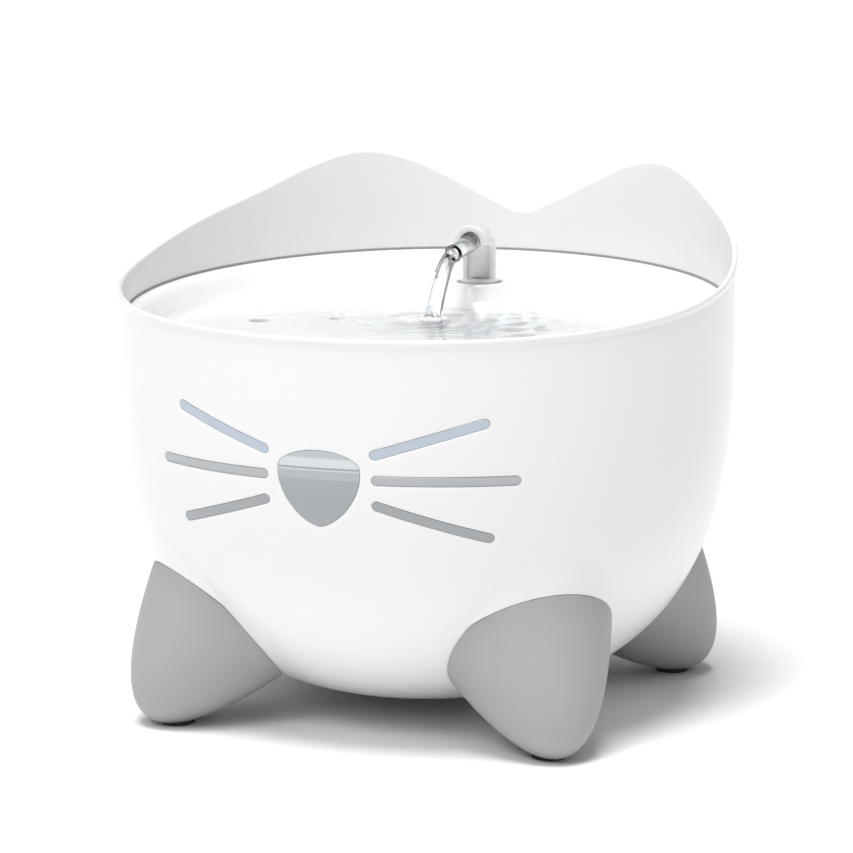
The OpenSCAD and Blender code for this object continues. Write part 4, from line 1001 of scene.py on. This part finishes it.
def make_windows(b, material, spacing=2.6):
    """The clear moulding behind the face: a curved panel whose raised nose and whiskers fill the openings.

    One flat triangulation gives its back, its front round the raised parts, and their flush tops."""
    quarter, share = np.arange(4)[:, None], np.linspace(0, 1, 8)
    a = (np.pi / 2 * (quarter + share)).ravel()
    signs = np.repeat([[1, 1], [-1, 1], [-1, -1], [1, -1]], len(share), 0)
    middle, half = (PANEL.high + PANEL.low) / 2, (PANEL.high - PANEL.low) / 2
    outline = [0, middle] + signs * (np.array([PANEL.half, half]) - PANEL.corner) \
        + PANEL.corner * np.stack([np.cos(a), np.sin(a)], 1)
    dense = []
    for p, q in zip(outline, np.roll(outline, -1, 0)):
        n = max(1, int(np.linalg.norm(q - p) / 2.5))
        dense.append(p + (q - p) * (np.arange(n) / n)[:, None])
    border, *rest = [unrolled(b, q) for q in (np.concatenate(dense), *face_loops(PANE.foot),
                                              *face_loops(PANE.top))]
    xs, zs = np.arange(-PANEL.half, PANEL.half, spacing), np.arange(PANEL.low, PANEL.high, spacing)
    loose = unrolled(b, np.stack(np.meshgrid(xs, zs), -1).reshape(-1, 2))
    loose = loose[inside(loose, border) & (nearest(loose, border) > 1.2)]
    for loop in rest:
        loose = loose[nearest(loose, loop) > 0.9]
    flat, tris = triangulated([border, *rest], loose)
    middle = flat[tris].mean(1)
    feet = rest[:OPENINGS]
    keep, raised = inside(middle, border), inside(middle, *feet)
    form = Form().add(wall_patch(b, flat, PANEL.back), tris[keep][:, ::-1])
    form.add(wall_patch(b, flat, PANEL.front), tris[keep & ~raised])
    depth = np.full(len(flat), PANE.face)
    depth[len(border):len(border) + sum(map(len, feet))] = PANE.edge
    form.add(wall_patch(b, flat, depth), tris[raised])
    for loop in feet:
        form.sheet(wall_ribbon(b, loop, (PANE.edge, PANE.waist, PANEL.front)), loop_cols=True)
    form.sheet(wall_ribbon(b, border, (PANEL.front, PANEL.back)), loop_cols=True)
    return form.make("face_panes", material, crease=40)


# ---- water

LANDING = (1.0, 6.0)           # where the stream meets the pool


def ripples(x, y, height):
    """Rings that run out from where the stream lands, bent by slow waves, and dying away."""
    bend = 2.2 * np.sin(x / 9.0 + 0.6 * np.sin(y / 7.0)) + 1.8 * np.sin(y / 6.0 + x / 15.0)
    d = np.hypot(x - LANDING[0], (y - LANDING[1]) * 1.15) + bend
    rings = 0.7 * np.sin(TAU * d / 8.5) + 0.3 * np.sin(TAU * d / 5.1 + x / 8.0)
    chop = 1.1 * np.sin(x / 5.2 + 1.6 * np.sin(y / 6.5)) * np.sin(y / 3.2 + 1.3 * np.sin(x / 8.0))
    fade = np.exp(-np.clip(d - 6, 0, None) / 26) * (1 - 0.45 * np.exp(-(d / 5.0) ** 2))
    lean = 1 / (1 + np.exp(-(x + 34) / 9))
    return height * (rings + chop) * fade * lean


def make_pool(d, s, w, material, cols=288, rows=110, thick=0.7):
    """The water in the dish: a sheet by angle and by share of the way to its edge, with ripples.

    Its edge is where the dish rises through the level, or a wavy line across the dry back. The
    ripples die away within 7 mm of it, and a meniscus clings to it."""
    centre = np.array([0, -12.0])
    a = turns(cols)
    way = np.stack([np.cos(a), np.sin(a)], 1)

    def wet(reach):
        """True where the dish lies under the water's level, in front of the dry back."""
        p = centre + reach[:, None] * way
        x, y = p.T
        back = 51 + 6.0 * np.sin(x / 15 + 1.2) + 3.0 * np.sin(x / 6.5) - 10 * (x / 95) ** 2
        return (dish_height(d, p, s.place, False) < w.level - 0.05) & (y < back)

    reach = crossing(wet, 0 * a, 0 * a + 130, 24)
    reach = reach * 0.5 + 0.25 * (np.roll(reach, 1) + np.roll(reach, -1)) - 0.2
    t = np.linspace(0, 1, rows)[:, None]
    x, y = centre[0] + reach * t * np.cos(a), centre[1] + reach * t * np.sin(a)
    to_edge = (1 - t) * reach
    z = w.level + ripples(x, y, w.ripple) * smooth(np.clip(to_edge / 7.0, 0, 1) ** 2)
    meniscus = 0.34 * np.clip(1 - to_edge / 1.5, 0, 1) ** 2
    top, bottom = np.stack([x, y, z - meniscus], -1), np.stack([x, y, z - thick], -1)
    bottom[-1] = top[-1] - [0, 0, 0.1]
    return Form().slab(top, bottom).make("dish_water", material, crease=80)


def make_stream(s, w, material, cols=40):
    """The falling stream: a parabola from the nozzle's mouth, with a swelling, twisting section
    that flares where it meets the pool."""
    ahead = np.concatenate([np.linspace(-7, 20, 84), np.linspace(20.1, 22.0, 18)])
    out = ahead.clip(0)
    drop = DROOP * (1 + np.minimum(ahead, 0) / 22.8) ** DROOP_POWER + 0.105 * out + 0.0382 * out ** 2
    path = np.stack([s.mouth - ahead, s.axis - drop], 1)
    fall = np.clip(ahead / 21.5, 0, 1)
    spread = 0.75 * (1 - np.exp(-(ahead - 0.6).clip(0) / 1.4))
    tube = swept(path, 2.22 + spread + 0.12 * fall + 0.08 * np.sin(fall * 13),
                 2.22 - 0.4 * fall + 0.08 * np.sin(fall * 11), cols)
    a, fall = turns(cols), fall[:, None]
    wave = 1 + 0.035 * fall * np.sin(3 * a + 5 * fall) + 0.02 * np.sin(5 * a - 7 * fall)
    flare = 1 + 0.25 * np.exp(-(path[:, 1:] - w.level) / 0.45).clip(0, 1)
    middle = np.stack([0 * ahead, *path.T], 1)[:, None]
    tube = middle + (tube - middle) * (wave * flare)[..., None]
    return Form().sheet(capped(tube), loop_cols=True).make("water_stream", material, crease=80)


# x, y, height, radius and flatness of the drops at the foot of the recess and on its sides
DROPS = [(-2.7, 51.9, 141.5, 0.7, 0.6), (2.6, 51.6, 141.45, 0.62, 0.6), (0.9, 51.0, 141.4, 0.5, 0.6),
         (-1.2, 51.2, 141.4, 0.45, 0.6), (3.2, 53.2, 143.6, 0.4, 1.2), (-3.4, 53.4, 145.2, 0.35, 1.2)]


def make_drops(material):
    """Drops on the spout: balls by two angles, pressed flat."""
    form = Form()
    t, a = np.linspace(0, np.pi, 12)[:, None], turns(18)
    ball = np.stack([np.sin(t) * np.cos(a), np.sin(t) * np.sin(a), np.cos(t) + 0 * a], -1)
    for x, y, z, r, flat in DROPS:
        form.sheet(ball * [r, r, r * flat] + [x, y, z], loop_cols=True)
    return form.make("spout_drops", material, crease=80)


def make_froth(w, material):
    """The froth where the stream lands: a low dome by angle and share of its radius, with bumps."""
    a, t = turns(64), np.linspace(0, 1, 16)[:, None]
    reach = t * (4.4 + 0.5 * np.sin(5 * a) + 0.3 * np.sin(8 * a + 1))
    bumps = 1 + 0.45 * np.sin(7 * a + 9 * t) * np.sin(6 * np.pi * t)
    x, y = 1.15 * reach * np.cos(a), 6.2 + reach * np.sin(a)
    dome = w.level + 0.2 + 0.75 * np.sqrt(1 - t ** 2) * bumps
    form = Form().slab(np.stack([x, y, dome], -1), np.stack([x, y, 0 * x + w.level - 0.3], -1))
    return form.make("landing_froth", material, crease=80)


def make_tank_water(b, w, material, clear_of_wall=0.15, panel=2.6, thick=0.8):
    """The water's surface in the bowl: a thin disc that follows the wall, and the windows' panel in front."""
    a = turns(200)
    front = np.exp(-(np.degrees(np.angle(np.exp(1j * (a - FRONT)))) / 36) ** 8)
    r = wall_radius(b, w.tank) - b.wall - clear_of_wall - panel * front
    t = np.linspace(0, 1, 30)[:, None]
    meniscus = 0.5 * np.clip(1 - (1 - t) * r / 2.5, 0, 1) ** 2
    top = np.stack([t * r * np.cos(a), t * r * np.sin(a), w.tank + meniscus], -1)
    return Form().slab(top, top - [0, 0, thick]).make("tank_water", material, crease=80)


# ---- operators

def dressed(piece, body, node=None):
    """Says which body a piece rides on, and the CAD node it replaces."""
    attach(piece, body)
    if node:
        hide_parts(node)


def chosen(scene):
    """The scene's settings, with lengths in millimetres, and its colours."""
    groups = {name: getattr(scene, "fountain_" + name) for name in SETTINGS}
    return SimpleNamespace(**{name: in_mm(group) for name, group in groups.items()}), groups["colours"]


class FOUNTAIN_OT_bowl(bpy.types.Operator):
    """Build the bowl's wall with its ears, rim and openings, and the shoulders above the feet."""
    bl_idname = "fountain.bowl"
    bl_label = "Bowl"

    def execute(self, context):
        sizes, colours = chosen(context.scene)
        d = sizes.dish
        # a painted shadow line on the inside of the wall, just above the dish's edge
        gap_shadow = painted_gap_shadow((d.height + 0.2) * MM, float(np.tan(np.radians(d.tilt))), (d.radius + 1) * MM)
        white = moulded("white_gloss", colours.bowl, 0.30, coat=0.25, painted_shade=gap_shadow)
        dressed(make_bowl_wall(sizes.bowl, d, white), "bowl", "bowl_shell")
        dressed(make_shoulders(sizes.bowl, sizes.feet, white), "bowl", "bowl_shell")
        return {"FINISHED"}


class FOUNTAIN_OT_feet(bpy.types.Operator):
    """Build the four grey foot covers."""
    bl_idname = "fountain.feet"
    bl_label = "Feet"

    def execute(self, context):
        sizes, colours = chosen(context.scene)
        grey = moulded("soft_grey", colours.foot, 0.52, 1500, 0.00003, drift=0.03)
        for name, degrees in FOOT_ANGLES.items():
            dressed(make_foot(sizes.bowl, sizes.feet, name, degrees, grey), "bowl", name)
        return {"FINISHED"}


class FOUNTAIN_OT_dish(bpy.types.Operator):
    """Build the drinking dish with its pedestal and drain holes."""
    bl_idname = "fountain.dish"
    bl_label = "Dish"

    def execute(self, context):
        sizes, colours = chosen(context.scene)
        # painted shade in the gap of the socket round the spout's collar
        shade = socket_shade(sizes.spout.place * MM, (PEDESTAL.socket + 0.05) * MM, PEDESTAL.top * MM)
        white = moulded("dish_gloss", colours.bowl, 0.26, coat=0.35, painted_shade=shade)
        dressed(make_dish(sizes.dish, sizes.spout, white), "dish", "drinking_dish")
        return {"FINISHED"}


class FOUNTAIN_OT_spout(bpy.types.Operator):
    """Build the spout's hood, its milky elbow and its clear nozzle."""
    bl_idname = "fountain.spout"
    bl_label = "Spout"

    def execute(self, context):
        sizes, colours = chosen(context.scene)
        white = moulded("spout_gloss", colours.bowl, 0.26, coat=0.35)
        tube = clear("clear_tube", (0.97, 0.98, 0.99), 1.45)
        milk = moulded("elbow_milk", (0.86, 0.865, 0.87), 0.22, 900, 0.00002, coat=0.3)
        dressed(make_hood(sizes.spout, white), "spout", "spout_hood")
        dressed(make_nozzle(sizes.spout, tube), "spout", "nozzle_tube")
        dressed(make_elbow(sizes.spout, milk), "spout", "nozzle_tube")
        return {"FINISHED"}


class FOUNTAIN_OT_windows(bpy.types.Operator):
    """Build the clear nose and whiskers."""
    bl_idname = "fountain.windows"
    bl_label = "Windows"

    def execute(self, context):
        sizes, colours = chosen(context.scene)
        panes = window_painted_tank("pane_blue", colours.window, sizes.water.tank * MM, 0.0165)
        dressed(make_windows(sizes.bowl, panes), "bowl", "face_window")
        return {"FINISHED"}


class FOUNTAIN_OT_water(bpy.types.Operator):
    """Build the pool with its ripples, the stream, the drops, the froth and the water in the bowl."""
    bl_idname = "fountain.water"
    bl_label = "Water"

    def execute(self, context):
        sizes = chosen(context.scene)[0]
        w, s = sizes.water, sizes.spout
        shallow = still_water("shallow_water", (0.994, 0.996, 0.997), (0.016, 0.0, 0.050))
        falling = clear("falling_water", (0.985, 0.992, 1.0), 1.33, 0.01)
        f = Finish("froth")
        froth = f.surface((0.96, 0.97, 0.975), Roughness=0.35, IOR=1.2, Transmission_Weight=0.4,
                          Normal=f.bump(f.noise(1400), 0.8, 0.0002))
        dressed(make_pool(sizes.dish, s, w, shallow), "dish")
        dressed(make_stream(s, w, falling), "spout")
        dressed(make_drops(falling), "spout")
        dressed(make_froth(w, froth), "spout")
        dressed(make_tank_water(sizes.bowl, w, still_water("tank_surface", (0.90, 0.95, 0.97))), "bowl")
        return {"FINISHED"}


class FOUNTAIN_OT_finishes(bpy.types.Operator):
    """Give the pieces that keep their own shape their finishes."""
    bl_idname = "fountain.finishes"
    bl_label = "Inner pieces"

    def execute(self, context):
        looks = {
            rubber("seal_black", (0.022, 0.022, 0.024)):
                ["window_gasket", "foot_pads", "spout_oring", "suction_cups", "shaft_bushes", "inlet_seal"],
            moulded("pump_case", (0.035, 0.036, 0.040), 0.45, 1800, 0.00003, drift=0.06):
                ["pump_housing", "intake_cover", "power_inlet", "pump_lead"],
            moulded("housing_grey", (0.70, 0.71, 0.73), 0.40, 1800, 0.00003): ["filter_base", "filter_lid"],
            moulded("impeller_ivory", (0.84, 0.84, 0.80), 0.38): ["cartridge_frame", "impeller"],
            moulded("knob_grey", (0.30, 0.31, 0.33), 0.42): ["flow_knob", "inlet_nut"],
            metal("screw_steel", (0.62, 0.63, 0.65), 0.30, (1, 1, 8)): ["foot_screws", "intake_screws"],
            metal("core_sheets", (0.36, 0.37, 0.39), 0.42, (1, 30, 1)): ["stator_core"],
            moulded("hose_milk", (0.80, 0.83, 0.84), 0.35, 900, 0.00002, coat=0.2): ["outlet_hose"],
            cells("foam_cells", (0.30, 0.37, 0.42), (0.74, 0.80, 0.84), 900, 0.0004): ["foam_pad"],
            cells("carbon_grains", (0.010, 0.010, 0.011), (0.10, 0.10, 0.105), 700, 0.0006): ["granule_pad"],
            metal("magnet_black", (0.10, 0.10, 0.105), 0.55, (1, 1, 1)): ["rotor_magnet"],
            wound_wire("copper_wire", (0.72, 0.36, 0.16)): ["stator_coil"],
            moulded("shaft_ceramic", (0.88, 0.87, 0.83), 0.12, coat=0.3): ["pump_shaft"],
        }
        for material, names in looks.items():
            for name in names:
                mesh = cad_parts[name].data
                mesh.materials.clear()
                mesh.materials.append(material)
        return {"FINISHED"}


class FOUNTAIN_OT_studio(bpy.types.Operator):
    """Build the pale floor, the soft lights and the camera."""
    bl_idname = "fountain.studio"
    bl_label = "Studio"

    def execute(self, context):
        scene = context.scene
        rings = np.array([[0.001, 200, 500, 1000, 2000, 4000, 8000, 14000]]).T
        floor = Form().sheet(turned(np.concatenate([rings, 0 * rings - 0.02], 1), 64), loop_cols=True).make(
            "studio_floor", Finish("studio_floor").surface((0.90, 0.90, 0.90), Roughness=0.9,
                                                           Specular_IOR_Level=0.0), outside=False)
        if floor.data.polygons[-1].normal.z < 0:
            floor.data.flip_normals()

        scene.world = bpy.data.worlds.new("studio")
        scene.world.use_nodes = True
        sky = scene.world.node_tree.nodes["Background"]
        sky.inputs["Color"].default_value, sky.inputs["Strength"].default_value = (1, 1, 1, 1), 0.31

        def aimed(name, data, towards):
            """A light or a camera that looks in a direction."""
            made = bpy.data.objects.new(name, data)
            scene.collection.objects.link(made)
            made.rotation_euler = Vector(towards).to_track_quat("-Z", "Y").to_euler()
            return made

        for name, towards, spread, power in [("key", (0.20, 0.65, -0.73), 20, 0.75),
                                             ("overhead", (0.01, 0.20, -0.98), 28, 3.0)]:
            light = bpy.data.lights.new(name, "SUN")
            light.angle, light.energy = np.radians(spread), power
            aimed(name, light, towards)

        camera = bpy.data.cameras.new("camera")
        camera.sensor_width, camera.lens, camera.shift_x = 36.0, 162.13, -0.00055
        camera.clip_start, camera.clip_end = 0.05, 50.0
        place, target = Vector((0.44572, -1.25023, 0.34269)), Vector((0, 0, 0.09618))
        scene.camera = aimed("camera", camera, target - place)
        scene.camera.location = place
        scene.view_settings.view_transform = "Standard"
        return {"FINISHED"}


class FOUNTAIN_PT_panel(bpy.types.Panel):
    """Lists the fountain's settings and builders."""
    bl_idname = "FOUNTAIN_PT_panel"
    bl_label = "Cat Fountain"
    bl_space_type = "VIEW_3D"
    bl_region_type = "UI"
    bl_category = "Fountain"

    def draw(self, context):
        for name in SETTINGS:
            box = self.layout.box()
            box.label(text=name.title())
            group = getattr(context.scene, "fountain_" + name)
            for prop in group.bl_rna.properties:
                if prop.identifier not in ("rna_type", "name"):
                    box.prop(group, prop.identifier)
        for operator in OPERATORS:
            self.layout.operator(operator.bl_idname)


SETTINGS = {"bowl": BowlSettings, "feet": FootSettings, "dish": DishSettings, "spout": SpoutSettings,
            "water": WaterSettings, "colours": ColourSettings}
OPERATORS = [FOUNTAIN_OT_bowl, FOUNTAIN_OT_feet, FOUNTAIN_OT_dish, FOUNTAIN_OT_spout, FOUNTAIN_OT_windows,
             FOUNTAIN_OT_water, FOUNTAIN_OT_finishes, FOUNTAIN_OT_studio]


def register():
    """Registers every class, and gives the scene its settings."""
    for cls in [*SETTINGS.values(), *OPERATORS, FOUNTAIN_PT_panel]:
        bpy.utils.register_class(cls)
    for name, cls in SETTINGS.items():
        setattr(bpy.types.Scene, "fountain_" + name, PointerProperty(type=cls))


def unregister():
    """Takes back what register did."""
    for name in SETTINGS:
        delattr(bpy.types.Scene, "fountain_" + name)
    for cls in reversed([*SETTINGS.values(), *OPERATORS, FOUNTAIN_PT_panel]):
        bpy.utils.unregister_class(cls)


def main():
    """Runs the operators in order."""
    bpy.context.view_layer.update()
    register()
    for operator in OPERATORS:
        group, name = operator.bl_idname.split(".")
        getattr(getattr(bpy.ops, group), name)()


if __name__ == "__main__":
    main()
